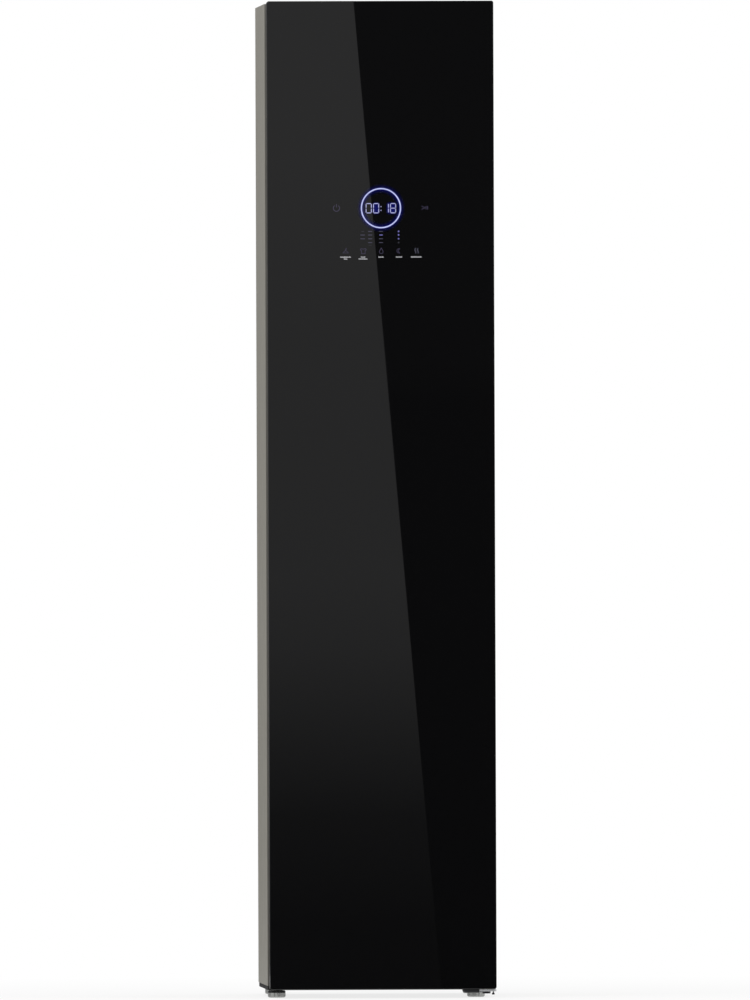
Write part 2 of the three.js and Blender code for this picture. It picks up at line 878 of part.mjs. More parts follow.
// The lid's plug fits inside the tub; a pinch grip stands on top, and the drain lid has its inlet.
function tankLid(withInlet) {
  const plate = alongZ(
    rectangle(tankHalfWidth + lidOverhang, tankHalfDepth + lidOverhang, tankCorner + lidOverhang),
    0,
    lidThickness,
  );
  const plugFit = tankWall + 2 * seatGap;
  const plug = alongZ(
    rectangle(tankHalfWidth - plugFit, tankHalfDepth - plugFit, tankCorner - plugFit),
    -lidRimDepth,
    lidThickness / 2,
  );
  const plugHollow = alongZ(
    rectangle(
      tankHalfWidth - plugFit - lidRimWall,
      tankHalfDepth - plugFit - lidRimWall,
      tankCorner - plugFit - lidRimWall,
    ),
    -lidRimDepth - cutOverrun,
    0,
  );
  narrowed(plug, 2, tankHeight, 0, tubShares);
  const gripTop = lidThickness + lidGripHeight;
  const grip = alongZ(
    rectangle(lidGripWidth / 2, lidGripThickness, lidGripThickness / 2),
    lidThickness / 2,
    gripTop,
  );
  narrowed(grip, 2, lidThickness, gripTop, [0.1, 0.5, 0]);
  const body = cut(joined(plate, plug, grip), plugHollow);
  if (!withInlet) return body;
  const inletRow = tankHalfDepth / 2;
  const inlets = row(lidInletCount, tankWidth / (lidInletCount + 1)).map((x) =>
    alongZ(
      rectangle(spigotRadius * 2, spigotRadius / 2, spigotRadius / 2.1, x, inletRow),
      -lidRimDepth - cutOverrun,
      lidThickness + cutOverrun,
    ),
  );
  return cut(body, inlets);
}

// A tray that hangs by its lip in an opening of the floor.
function hangingTray(halfWidth, halfDepth, bodyHeight) {
  const lip = alongZ(
    rectangle(halfWidth + filterLip, halfDepth + filterLip, filterLip),
    seatGap,
    seatGap + filterLipThickness,
  );
  const bodyTop = seatGap + filterLipThickness / 2;
  const body = box(-halfWidth, halfWidth, -halfDepth, halfDepth, -bodyHeight, bodyTop);
  return joined(lip, body);
}

function lintFilter() {
  const tray = hangingTray(filterHalfWidth, filterHalfDepth, filterBodyHeight);
  const count = Math.floor((2 * (filterHalfWidth - filterLip)) / filterSlotPitch);
  const slots = row(count, filterSlotPitch).map((x) =>
    alongZ(
      rectangle(filterSlotWidth / 2, filterHalfDepth - filterLip, filterSlotWidth / 2.1, x, 0),
      -filterBodyHeight - cutOverrun,
      filterLipThickness + cutOverrun,
      1,
    ),
  );
  return cut(tray, slots);
}

function aromaCassette() {
  const tray = hangingTray(cassetteHalfWidth, cassetteHalfDepth, cassetteHeight);
  const count = Math.floor((2 * (cassetteHalfWidth - filterLip)) / cassetteSlotPitch);
  const slots = row(count, cassetteSlotPitch).map((x) =>
    box(
      x - cassetteSlotWidth / 2,
      x + cassetteSlotWidth / 2,
      filterLip - cassetteHalfDepth,
      cassetteHalfDepth - filterLip,
      -filterLipThickness,
      filterLipThickness + cutOverrun,
    ),
  );
  return cut(tray, slots);
}

// Hanger drive: a motor's crank pushes the carriage to and fro on two rods, and the bar hangs from it

const rodRow = rodSpacing / 2;
const plateTop = driveBottom + driveSheet;
const crankThrow = strokeEachWay;

// Base plate with the two rods between folded end lugs, and a bridge over the carriage for the motor.
function driveFrame() {
  const halfWidth = driveWidth / 2;
  const halfDepth = driveDepth / 2;
  const base = box(-halfWidth, halfWidth, -halfDepth, halfDepth, driveBottom, plateTop);
  const lugHalf = rodRow + lugWidth / 2;
  const lugTop = rodAxis + lugWidth / 2;
  const lugShape = outline([
    [-lugHalf, driveBottom],
    [lugHalf, driveBottom],
    [lugHalf, lugTop, lugWidth / 3],
    [-lugHalf, lugTop, lugWidth / 3],
  ]);
  const lugs = [
    alongX(lugShape, -halfWidth, driveSheet - halfWidth),
    alongX(lugShape, halfWidth - driveSheet, halfWidth),
  ];
  const rodReach = halfWidth + driveSheet;
  const rods = row(2, rodSpacing).map((y) =>
    barX(rodRadius, -rodReach, rodReach, smallSides).translate(0, y, rodAxis),
  );
  const bridgeHalf = bridgeWidth / 2;
  const bridgeTop = bridgeBottom + driveSheet;
  const bridge = cut(
    box(-bridgeHalf, bridgeHalf, -halfDepth, halfDepth, driveBottom, bridgeTop),
    box(
      -bridgeHalf - cutOverrun,
      bridgeHalf + cutOverrun,
      driveSheet - halfDepth,
      halfDepth - driveSheet,
      plateTop,
      bridgeBottom,
    ),
  );
  const shaftLow = bridgeBottom - cutOverrun;
  const shaftHole = barZ(shaftRadius + runningGap, shaftLow, bridgeTop + cutOverrun, smallSides);
  return cut(
    joined(base, lugs, bridge, rods),
    shaftHole,
    stemSlots(driveBottom - cutOverrun, plateTop + cutOverrun),
  );
}

function yokeCarriage() {
  const halfLength = carriageLength / 2;
  const halfDepth = rodRow + carriageEdge;
  const low = rodAxis - carriageHeight / 2;
  const waist = halfDepth - carriageEdge / 2;
  const flute = carriageFlute;
  const block = alongZ(
    outline([
      [-halfLength, -halfDepth, carriageEdge / 2],
      [-flute, -halfDepth],
      [-flute / 2, -waist],
      [flute / 2, -waist],
      [flute, -halfDepth],
      [halfLength, -halfDepth, carriageEdge / 2],
      [halfLength, halfDepth, carriageEdge / 2],
      [flute, halfDepth],
      [flute / 2, waist],
      [-flute / 2, waist],
      [-flute, halfDepth],
      [-halfLength, halfDepth, carriageEdge / 2],
    ]),
    low,
    carriageTop,
  );
  const boreReach = halfLength + cutOverrun;
  const bores = row(2, rodSpacing).map((y) =>
    barX(rodRadius + seatGap, -boreReach, boreReach, smallSides).translate(0, y, rodAxis),
  );
  const slotHalf = crankThrow + crankPinRadius + runningGap;
  const slot = alongZ(
    rectangle(yokeSlotWidth / 2, slotHalf, yokeSlotWidth / 2.1),
    low - cutOverrun,
    carriageTop + cutOverrun,
  );
  const pockets = row(2, stemSpacing).map((x) =>
    alongZ(
      rectangle(stemWidth, rodRow - rodRadius - carriageEdge / 2, carriageEdge / 2, x),
      low + carriageEdge,
      carriageTop + cutOverrun,
    ),
  );
  return cut(block, bores, slot, pockets);
}

// The notched bar, its two stems, and the pads that bolt up to the carriage.
function hangerBar() {
  const barTop = cavityTop - barDrop;
  const barLow = barTop - barHeight;
  const halfLength = barLength / 2;
  const padTop = rodAxis - carriageHeight / 2 - seatGap;
  const padLow = padTop - (padTop - plateTop) / 3;
  const notchesEachSide = Math.floor((halfLength - notchPitch / 2) / notchPitch);
  const profile = new THREE.Shape();
  profile.moveTo(-halfLength, barTop);
  profile.lineTo(-halfLength, barLow + barHeight / 3);
  profile.quadraticCurveTo(-halfLength, barLow, barHeight / 3 - halfLength, barLow);
  profile.lineTo(halfLength - barHeight / 3, barLow);
  profile.quadraticCurveTo(halfLength, barLow, halfLength, barLow + barHeight / 3);
  profile.lineTo(halfLength, barTop);
  row(2 * notchesEachSide + 1, notchPitch)
    .reverse()
    .forEach((x) => {
      profile.lineTo(x + notchRadius, barTop);
      profile.absarc(x, barTop, notchRadius, 0, Math.PI, true);
    });
  profile.closePath();
  const bar = alongY(profile, -barThickness / 2, barThickness / 2);
  const stems = row(2, stemSpacing).flatMap((x) => [
    alongZ(
      rectangle(stemWidth / 2, stemThickness / 2, stemThickness / 3, x),
      barTop - barHeight / 2,
      padLow + (padTop - padLow) / 2,
    ),
    alongZ(rectangle(stemWidth, stemWidth / 2, stemWidth / 4, x), padLow, padTop),
  ]);
  return joined(bar, stems);
}

function driveMotor() {
  const foot = bridgeBottom + driveSheet + seatGap;
  const canLow = foot + gearboxHeight;
  const body = turned([
    [0, foot],
    [gearboxRadius, foot],
    [gearboxRadius, canLow - crankPinGap],
    [canRadius, canLow],
    [canRadius, canLow + canHeight - runningGap],
    [canRadius - runningGap, canLow + canHeight],
    [canRadius / 2, canLow + canHeight],
    [canRadius / 2, canLow + canHeight + runningGap],
    [0, canLow + canHeight + runningGap],
  ]);
  const shaft = barZ(shaftRadius, crankBottom + runningGap, foot + seatGap, smallSides);
  const ear = alongZ(
    rectangle(gearboxRadius + shaftRadius * 2, shaftRadius * 2, shaftRadius * 2),
    foot,
    foot + driveSheet,
  );
  return joined(body, shaft, ear);
}

function crank() {
  const top = crankBottom + crankThickness;
  const disc = barZ(crankRadius, crankBottom, top);
  const hub = barZ(crankHubRadius, top - runningGap, top + crankHubHeight);
  const pin = barZ(crankPinRadius, crankBottom - crankPinLength, crankBottom + runningGap, smallSides);
  const boreLow = crankBottom + runningGap - seatGap;
  const bore = barZ(shaftRadius + seatGap, boreLow, top + 2 * crankHubHeight, smallSides);
  const sideCuts = [-1, 1].map((side) =>
    barZ(crankRadius / 2, crankBottom - cutOverrun, top + cutOverrun, smallSides).translate(
      -crankRadius / 2,
      side * crankRadius,
      0,
    ),
  );
  return cut(joined(disc, hub, pin.translate(crankThrow, 0, 0)), bore, sideCuts);
}

// Air side: fan scroll, wheel and motor, finned heater and the duct behind the back wall

const scrollInnerHalf = wheelWidth / 2 + scrollSideGap;
const scrollOuterHalf = scrollInnerHalf + scrollWall;
const scrollTop = cavityFloor - linerWall - seatGap;
const ductFront = linerBack + linerWall + seatGap;
const ductBack = rearPanelInner - seatGap;

// The spiral from its tongue round to the upright outlet, moved out by the wall where one is asked for.
function scrollOutline(wall, top) {
  const steps = 20;
  const start = THREE.MathUtils.degToRad(scrollTongueAngle);
  const points = Array.from({ length: steps + 1 }, (_, index) => {
    const share = index / steps;
    const angle = start + share * (2 * Math.PI - start);
    const radius = scrollTongueRadius + share * (scrollOuterRadius - scrollTongueRadius) + wall;
    return [wheelRow + radius * Math.cos(angle), scrollHeight + radius * Math.sin(angle)];
  });
  const tongueRow = Math.max(points[0][0], ductFront + ductWall) - 2 * wall;
  return outline([...points, [points[steps][0], top], [tongueRow, top]]);
}

function fanScroll() {
  const casing = alongX(scrollOutline(scrollWall, scrollTop), -scrollOuterHalf, scrollOuterHalf);
  const inside = alongX(scrollOutline(0, scrollTop + cutOverrun), -scrollInnerHalf, scrollInnerHalf);
  const inlet = barX(scrollInletRadius, -scrollOuterHalf - cutOverrun, 0);
  const wheelDoor = barX(wheelRadius + runningGap, 0, scrollOuterHalf + cutOverrun);
  const legFoot = trayBottom + traySheet + seatGap;
  const legs = row(2, scrollLegSpacing).map((y) =>
    cut(
      box(
        -scrollOuterHalf,
        scrollOuterHalf,
        wheelRow + y - scrollLegWidth / 2,
        wheelRow + y + scrollLegWidth / 2,
        legFoot,
        scrollHeight - scrollTongueRadius / 2,
      ),
      alongX(scrollOutline(scrollWall / 2, scrollTop), -2 * scrollOuterHalf, 2 * scrollOuterHalf),
    ),
  );
  const openings = [inlet, wheelDoor].map((hole) => hole.translate(0, wheelRow, scrollHeight));
  return cut(joined(casing, legs), inside, openings);
}

// A drum of forward-curved blades between a disc and a ring, about its own axis along x.
function fanWheel() {
  const half = wheelWidth / 2;
  const disc = barX(wheelRadius, half - wheelDisc, half, 2 * turnedSides);
  const hub = barX(wheelHubRadius, -half / 3, half - wheelDisc / 2);
  const ringEnd = wheelRingHeight - half;
  const ringOuter = barX(wheelRadius, -half, ringEnd, 2 * turnedSides);
  const ringInner = barX(wheelRadius - wheelRing, -half - cutOverrun, ringEnd + cutOverrun, 2 * turnedSides);
  const root = wheelRadius - bladeDepth;
  const tip = wheelRadius - wheelRing / 4;
  const lean = bladeDepth / 2;
  const vane = new THREE.Shape();
  vane.moveTo(root, 0);
  vane.quadraticCurveTo(root + bladeDepth * 0.6, 0, tip, lean);
  vane.lineTo(tip - bladeThickness / 3, lean + bladeThickness);
  vane.quadraticCurveTo(root + bladeDepth * 0.5, bladeThickness, root, bladeThickness);
  vane.closePath();
  const bladeTurn = (2 * Math.PI) / bladeCount;
  const blades = Array.from({ length: bladeCount }, (_, index) =>
    alongX(vane, ringEnd - wheelRingHeight / 2, half - wheelDisc / 2, 2).rotateX(index * bladeTurn),
  );
  const bore = barX(shaftRadius + seatGap, -half, half + cutOverrun, smallSides);
  return cut(joined(disc, hub, cut(ringOuter, ringInner), blades), bore);
}

function fanMotor() {
  const face = scrollOuterHalf + seatGap;
  const back = face + fanFlangeThickness;
  const can = back + fanCanLength;
  const body = turned([
    [0, face],
    [wheelRadius + scrollSideGap, face],
    [wheelRadius + scrollSideGap, back],
    [fanCanRadius, back],
    [fanCanRadius, can - runningGap],
    [fanCanRadius - runningGap, can],
    [fanBossRadius, can],
    [fanBossRadius, can + fanBossLength],
    [0, can + fanBossLength],
  ]);
  const shaft = barZ(shaftRadius, 0, face + seatGap, smallSides);
  return joined(body, shaft).rotateY(Math.PI / 2);
}

// The duct is a pan against the back wall, open at its foot above the fan's outlet.
function airDuct() {
  const half = ductWidth / 2;
  const low = cavityFloor - linerWall;
  const top = grilleHeight + grilleCount * grillePitch;
  const shell = box(-half, half, ductFront, ductBack, low, top);
  const inside = box(
    ductWall - half,
    half - ductWall,
    ductFront - cutOverrun,
    ductBack - ductWall,
    low + ductWall,
    top - ductWall,
  );
  const foot = box(
    -scrollInnerHalf,
    scrollInnerHalf,
    ductFront + ductWall,
    ductBack - ductWall,
    low - cutOverrun,
    low + 2 * ductWall,
  );
  return cut(shell, inside, foot);
}

function airHeater() {
  const rear = ductBack - ductWall - seatGap;
  const front = ductFront + seatGap;
  const top = heaterBase + heaterHeight;
  const middle = (front + rear) / 2;
  const count = Math.floor(heaterWidth / heaterFinPitch);
  const fins = row(count, heaterFinPitch).map((x) =>
    box(x - heaterFin / 2, x + heaterFin / 2, front, rear, heaterBase, top),
  );
  const reach = ductWidth / 2 - ductWall - seatGap;
  const cores = row(2, heaterHeight / 2).map((z) =>
    barX(heaterCore / 2, -reach, reach, nutSides).translate(0, middle, (heaterBase + top) / 2 + z),
  );
  return joined(cores, fins);
}

// Steam side: boiler, pump, hoses and nozzle

const trayFloor = trayBottom + traySheet + seatGap;
const boilerLow = trayFloor + boilerFoot;
const boilerTop = boilerLow + boilerHeight;
const boilerInletHeight = boilerLow + boilerHeight / 3;
const boilerSide = boilerColumn + boilerWidth / 2;
const steamColumn = boilerColumn - boilerWidth / 4;
const pumpAxis = trayFloor + pumpFoot + pumpHeadSize / 2;
const pumpHeadMiddle = pumpRow + pumpHeadLength / 2;

function steamGenerator() {
  const shape = (grow) =>
    rectangle(boilerWidth / 2 + grow, boilerDepth / 2 + grow, boilerCorner + grow, boilerColumn, boilerRow);
  const body = alongZ(shape(0), boilerLow, boilerTop);
  const rim = alongZ(shape(boilerRim), boilerTop - 2 * boilerRimThickness, boilerTop - boilerRimThickness);
  const foot = barZ(boilerFoot, trayFloor, boilerLow + boilerFoot, smallSides);
  const feet = row(2, boilerWidth - 2 * boilerCorner).flatMap((x) =>
    row(2, boilerDepth - 2 * boilerCorner).map((y) =>
      foot.clone().translate(boilerColumn + x, boilerRow + y, 0),
    ),
  );
  const outlet = barZ(spigotRadius, boilerTop - spigotLength, boilerTop + spigotLength, smallSides);
  const inlet = barX(spigotRadius, -spigotLength, spigotLength, smallSides);
  const front = boilerRow - boilerDepth / 2;
  const elements = row(2, elementSpacing).map((x) =>
    barY(elementRadius, front - elementLength, front + elementLength, smallSides).translate(
      boilerColumn + x,
      0,
      boilerInletHeight,
    ),
  );
  return joined(
    body,
    rim,
    feet,
    outlet.translate(steamColumn, boilerRow, 0),
    inlet.translate(boilerSide, boilerRow, boilerInletHeight),
    elements,
  );
}

function feedPump() {
  const half = pumpHeadSize / 2;
  const motor = barY(pumpRadius, pumpRow - pumpLength, pumpHeadMiddle).translate(pumpColumn, 0, pumpAxis);
  const head = alongY(
    rectangle(half, half, half / 3, pumpColumn, pumpAxis),
    pumpRow,
    pumpRow + pumpHeadLength,
  );
  const foot = box(
    pumpColumn - half,
    pumpColumn + half,
    pumpRow - pumpLength / 2,
    pumpRow + pumpHeadLength,
    trayFloor,
    trayFloor + pumpFoot + half / 2,
  );
  const inlet = barZ(spigotRadius, pumpAxis, pumpAxis + half + spigotLength, smallSides);
  const outlet = barX(spigotRadius, -half - spigotLength, 0, smallSides);
  return joined(
    motor,
    head,
    foot,
    inlet.translate(pumpColumn, pumpHeadMiddle, 0),
    outlet.translate(pumpColumn, pumpHeadMiddle, pumpAxis),
  );
}

function wellHose() {
  const top = wellFloor - linerWall - spigotLength - seatGap;
  const end = pumpAxis + pumpHeadSize / 2 + spigotLength + seatGap;
  return hose([
    [wellSpigotColumn, tankRow, top],
    [wellSpigotColumn, tankRow, top - 2 * spigotLength],
    [(wellSpigotColumn + pumpColumn) / 2, (tankRow + pumpHeadMiddle) / 2, (top + end) / 2],
    [pumpColumn, pumpHeadMiddle, end + 2 * spigotLength],
    [pumpColumn, pumpHeadMiddle, end],
  ]);
}

function feedHose() {
  const start = pumpColumn - pumpHeadSize / 2 - spigotLength - seatGap;
  const end = boilerSide + spigotLength + seatGap;
  return hose([
    [start, pumpHeadMiddle, pumpAxis],
    [start - spigotLength, pumpHeadMiddle, pumpAxis],
    [end + spigotLength, boilerRow, boilerInletHeight],
    [end, boilerRow, boilerInletHeight],
  ]);
}

function steamHose() {
  const start = boilerTop + spigotLength + seatGap;
  const end = cavityFloor + seatGap - nozzleLength - seatGap;
  const rise = end - start;
  const run = nozzleRow - boilerRow;
  return hose([
    [steamColumn, boilerRow, start],
    [steamColumn, boilerRow, start + 2 * spigotLength],
    [steamColumn, boilerRow + run / 3, start + rise / 3],
    [nozzleColumn, nozzleRow - run / 6, end - rise / 4],
    [nozzleColumn, nozzleRow, end - 2 * spigotLength],
    [nozzleColumn, nozzleRow, end],
  ]);
}

// Its cap stands on the floor and its tail reaches down to the steam hose.
function steamNozzle() {
  const base = cavityFloor + seatGap;
  const top = base + nozzleCapThickness;
  const nozzle = turned(
    [
      [0, base - nozzleLength],
      [spigotRadius, base - nozzleLength],
      [spigotRadius, base - nozzleLength / 2],
      [nozzleRadius, base - nozzleLength / 3],
      [nozzleRadius, base],
      [nozzleCapRadius, base],
      [nozzleCapRadius, base + nozzleCapThickness / 2],
      [nozzleCapRadius - nozzleCapThickness / 2, top],
      [nozzleBoreRadius, top],
      [nozzleBoreRadius, base - nozzleCapThickness],
      [0, base - nozzleCapThickness],
    ],
    smallSides,
  );
  return nozzle.translate(nozzleColumn, nozzleRow, 0);
}

function controlBox() {
  const low = cavityTop + linerWall + seatGap;
  const lidLow = low + controlHeight;
  const top = lidLow + controlLidThickness;
  const body = alongZ(
    rectangle(controlWidth / 2, controlDepth / 2, controlLidThickness, controlColumn, controlRow),
    low,
    lidLow,
  );
  const lid = alongZ(
    rectangle(
      controlWidth / 2 + controlLidOverhang,
      controlDepth / 2 + controlLidOverhang,
      controlLidThickness + controlLidOverhang,
      controlColumn,
      controlRow,
    ),
    lidLow - controlLidThickness,
    top,
  );
  const slots = row(controlSlotCount, controlSlotPitch).map((x) =>
    box(
      controlColumn + x - controlSlotWidth / 2,
      controlColumn + x + controlSlotWidth / 2,
      controlRow - controlDepth / 4,
      controlRow + controlDepth / 4,
      top - controlLidThickness / 2,
      top + cutOverrun,
    ),
  );
  return cut(joined(body, lid), slots);
}

// Door: glass on two side rails and two end caps, with its inner panel, core, seal and display

const railFront = glassBack + seatGap;
const railInner = doorHalf - railWidth;
const panelHalf = railInner - seatGap;
const panelFront = doorBack - innerPanelWall;
const coreFront = panelFront - seatGap - coreThickness;
const bushOuter = pinRadius + seatGap + bushWall;

function doorGlass() {
  const half = (overallHeight - glassBottom) / 2;
  return alongY(
    rectangle(glassWidth / 2, half, glassRadius, 0, glassBottom + half),
    glassFront,
    glassBack,
  );
}

const grooveBack = doorBack - gripFromBack;
const grooveFront = grooveBack - gripWidth;

// A rail is a channel that opens towards the door's middle.
function doorRail(side, front, back) {
  const skin = doorHalf - railWall;
  const corners = [
    [railInner, front],
    [doorHalf, front, railCorner],
    [doorHalf, back, railCorner],
    [railInner, back],
    [railInner, back - railWall],
    [skin, back - railWall],
    [skin, front + railWall],
    [railInner, front + railWall],
  ];
  const section = outline(corners.map(([x, y, radius]) => [side * x, y, radius]));
  return alongZ(section, railLow, railHigh);
}

// The web closes the finger groove between the two rails of the grip side; its edges are thicker.
function gripWeb() {
  const face = gripDepth - doorHalf;
  const front = grooveFront + seatGap;
  const back = grooveBack - seatGap;
  const section = outline([
    [face, front],
    [face + 2 * railWall, front, railCorner],
    [face + 2 * railWall, front + 2 * railWall],
    [face + railWall, front + 2 * railWall],
    [face + railWall, back - 2 * railWall],
    [face + 2 * railWall, back - 2 * railWall],
    [face + 2 * railWall, back, railCorner],
    [face, back],
  ]);
  return alongZ(section, railLow, railHigh);
}

// An end cap is a shell with a bushed boss at the hinge; it opens towards the rails.
function doorCap(outerFace, direction, pocketDepth) {
  const place = (height) => outerFace + direction * height;
  const between = (near, far) => [Math.min(place(near), place(far)), Math.max(place(near), place(far))];
  const halfDepth = (doorBack - railFront) / 2;
  const middle = railFront + halfDepth;
  const shell = alongZ(rectangle(doorHalf, halfDepth, railCorner, 0, middle), ...between(0, capHeight));
  const hollow = alongZ(
    rectangle(doorHalf - capWall, halfDepth - capWall, railCorner, 0, middle),
    ...between(pocketDepth + capWall, capHeight + cutOverrun),
  );
  const bossDepth = pocketDepth + bushLength + capWall;
  const boss = barZ(bushOuter + seatGap + capWall, ...between(pocketDepth + capWall / 2, bossDepth));
  const bossHole = barZ(bushOuter + seatGap, ...between(-cutOverrun, bossDepth + cutOverrun));
  const hinged = joined(cut(shell, hollow), boss.translate(pivotX, pivotY, 0));
  const drilled = cut(hinged, bossHole.translate(pivotX, pivotY, 0));
  if (pocketDepth === 0) return drilled;
  const pocket = box(
    doorHalf - hingePocketWidth / 2,
    doorHalf + cutOverrun,
    railFront - cutOverrun,
    doorBack + cutOverrun,
    ...between(-cutOverrun, pocketDepth),
  );
  return cut(drilled, pocket);
}

// A flanged sleeve whose flange bears on the cap's face.
function hingeBush(face, direction) {
  const flange = bushFlangeThickness;
  const profile = [
    [pinRadius + seatGap, -seatGap - flange],
    [bushFlangeRadius, -seatGap - flange],
    [bushFlangeRadius, -seatGap],
    [bushOuter, -seatGap],
    [bushOuter, bushLength],
    [pinRadius + seatGap, bushLength],
    [pinRadius + seatGap, -seatGap - flange],
  ];
  const sleeve = turned(profile, smallSides);
  if (direction < 0) sleeve.rotateX(Math.PI);
  return sleeve.translate(pivotX, pivotY, face);
}

function upperHingeBracket() {
  const low = cabinetTop + seatGap;
  const armHalf = bracketArmWidth / 2;
  const plateRight = Math.min(pivotX + bracketPlateWidth / 2, shellHalf);
  const plateFront = cabinetFront + seatGap;
  const shape = outline([
    [pivotX - armHalf, pivotY - armHalf, armHalf],
    [pivotX + armHalf, pivotY - armHalf, armHalf],
    [pivotX + armHalf, plateFront],
    [plateRight, plateFront, railCorner],
    [plateRight, plateFront + bracketPlateLength, railCorner],
    [pivotX - bracketPlateWidth / 2, plateFront + bracketPlateLength, railCorner],
    [pivotX - bracketPlateWidth / 2, plateFront, railCorner],
    [pivotX - armHalf, plateFront],
  ]);
  const plate = alongZ(shape, low, low + bracketThickness, bendSteps * 2);
  const pin = barZ(pinRadius, low - pinLength, low + bracketThickness / 2);
  return joined(plate, pin.translate(pivotX, pivotY, 0));
}

function lowerHingePlate() {
  const low = hingePlateTop - hingePlateThickness;
  const right = cabinetHalf - glassSideInset;
  const back = cabinetFront + sheet;
  const footFront = back - hingeFootDepth;
  const tongueFront = footFront - hingeTongueReach;
  const plate = alongZ(
    outline([
      [right - hingeTongueWidth, tongueFront, railCorner],
      [right, tongueFront, glassRadius],
      [right, back, railCorner],
      [right - hingeFootWidth, back, railCorner],
      [right - hingeFootWidth, footFront, railCorner],
      [right - hingeTongueWidth, footFront],
    ]),
    low,
    hingePlateTop,
  );
  const legMiddle = right - hingeFootWidth + hingeLegWidth / 2;
  const leg = alongY(
    rectangle(hingeLegWidth / 2, hingeLegHeight / 2, 0, legMiddle, low + hingeLegHeight / 2),
    back - hingeLegThickness,
    back,
  );
  const pin = barZ(pinRadius, hingePlateTop - hingePlateThickness / 2, hingePlateTop + pinLength);
  return joined(plate, leg, pin.translate(pivotX, pivotY, 0));
}

// The black stop block beside the hinge plate's tongue, round at its free end.
function hingeCover() {
  const right = cabinetHalf - glassSideInset - hingeTongueWidth - seatGap;
  const rear = cabinetFront + sheet - hingeFootDepth - seatGap;
  const front = rear - hingeTongueReach;
  const shape = outline([
    [right - hingeCoverWidth, front, hingeCoverWidth / 2],
    [right, front],
    [right, rear],
    [right - hingeCoverWidth, rear, hingeCoverWidth / 4],
  ]);
  return alongZ(shape, hingePlateTop - hingeCoverThickness, hingePlateTop, bendSteps * 2);
}

// The inner panel is one sheet with a raised middle that stands into the seal's frame.
function doorInnerPanel() {
  const half = cavityHalf - plateauInset;
  const halfHeight = (cavityTop - cavityFloor) / 2 - plateauInset;
  const middle = (cavityTop + cavityFloor) / 2;
  const rise = doorBack + plateauRise;
  const flange = box(-panelHalf, panelHalf, panelFront, doorBack, railLow, railHigh);
  const plateau = alongY(rectangle(half, halfHeight, plateauInset, 0, middle), panelFront, rise);
  const wall = innerPanelWall;
  const hollow = alongY(
    rectangle(half - wall, halfHeight - wall, plateauInset, 0, middle),
    panelFront - cutOverrun,
    rise - wall,
  );
  narrowed(plateau, 1, panelFront, rise, plateauTaperShares);
  narrowed(hollow, 1, panelFront, rise, plateauTaperShares);
  return cut(joined(flange, plateau), hollow);
}

function doorCore() {
  return alongZ(
    rectangle(panelHalf - seatGap, coreThickness / 2, capWall, 0, coreFront + coreThickness / 2),
    railLow + coreEndGap,
    railHigh - coreEndGap,
  );
}

// A rectangular ring about the cavity's mouth, of the given width and depth.
function mouthRing(start, width, y0, y1) {
  const ring = (grow, from, to) =>
    box(-cavityHalf - grow, cavityHalf + grow, from, to, cavityFloor - grow, cavityTop + grow);
  return cut(ring(start + width, y0, y1), ring(start, y0 - cutOverrun, y1 + cutOverrun));
}

function doorGasket() {
  const back = cabinetFront - seatGap;
  const base = mouthRing(seatGap, gasketWidth, doorBack + seatGap, doorBack + gasketLip);
  const bellows = mouthRing(gasketWidth / 4, gasketWidth / 2, doorBack + gasketLip / 2, back - gasketLip / 2);
  const head = mouthRing(seatGap, gasketWidth, back - gasketLip, back);
  return joined(base, bellows, head);
}

function displayHousing() {
  const half = displayWidth / 2;
  const halfHeight = displayHeight / 2;
  const wall = displayWall;
  const back = coreFront - seatGap;
  const tray = alongY(
    rectangle(half, halfHeight, boardMargin, 0, displayCentreHeight),
    railFront,
    back,
  );
  const hollow = alongY(
    rectangle(half - wall, halfHeight - wall, boardMargin - wall, 0, displayCentreHeight),
    railFront - cutOverrun,
    back - wall,
  );
  const postTip = railFront + boardSetback + boardThickness + seatGap;
  const posts = row(2, displayWidth - 4 * boardMargin).flatMap((x) =>
    row(2, displayHeight - 4 * boardMargin).map((z) =>
      barY(boardMargin / 2, postTip, back - wall / 2, smallSides).translate(x, 0, displayCentreHeight + z),
    ),
  );
  return joined(cut(tray, hollow), posts);
}

// The board carries the ring-shaped light guide and the block behind the time readout.
function displayBoard() {
  const face = railFront + boardSetback;
  const guideTip = railFront + seatGap;
  const board = alongY(
    rectangle(
      displayWidth / 2 - boardMargin,
      displayHeight / 2 - boardMargin,
      boardMargin / 2,
      0,
      displayCentreHeight,
    ),
    face,
    face + boardThickness,
  );
  const ringOuter = barY(ringLightRadius, guideTip, face + boardThickness / 2, 2 * turnedSides);
  const guideBore = ringLightRadius - ringLightWall;
  const ringInner = barY(guideBore, guideTip - cutOverrun, face + cutOverrun, 2 * turnedSides);
  const ring = cut(ringOuter, ringInner).translate(0, 0, ringLightHeight);
  const digits = alongY(
    rectangle(ringLightRadius * 0.8, ringLightRadius * 0.35, ringLightWall / 2, 0, ringLightHeight),
    guideTip,
    face + boardThickness / 2,
  );
  return joined(board, ring, digits);
}

// Assembly

const cabinet = new THREE.Group();

const shell = new THREE.Group();
shell.add(
  piece("side_panel_left", sidePanel(-1), finish.sideSteel),
  piece("side_panel_right", sidePanel(1), finish.sideSteel),
  piece("top_panel", topPanel(), finish.sideSteel),
  piece("rear_panel", rearPanel(), finish.sideSteel),
  piece("base_tray", baseTray(), finish.blackPlastic),
  piece("front_frame", frontFrame(), finish.sideSteel),
  piece("cord_gland", cordGland(), finish.blackPlastic),
  piece("upper_hinge_bracket", upperHingeBracket(), finish.zinc),
  piece("lower_hinge_plate", lowerHingePlate(), finish.zinc),
  piece("hinge_stop_block", hingeCover(), finish.blackPlastic),
);
for (const [place, [x, y]] of Object.entries(footPlaces)) {
  const foot = piece(`foot_${place}`, levellingFoot(), finish.steel);
  foot.position.set(x, y, 0);
  shell.add(foot);
}

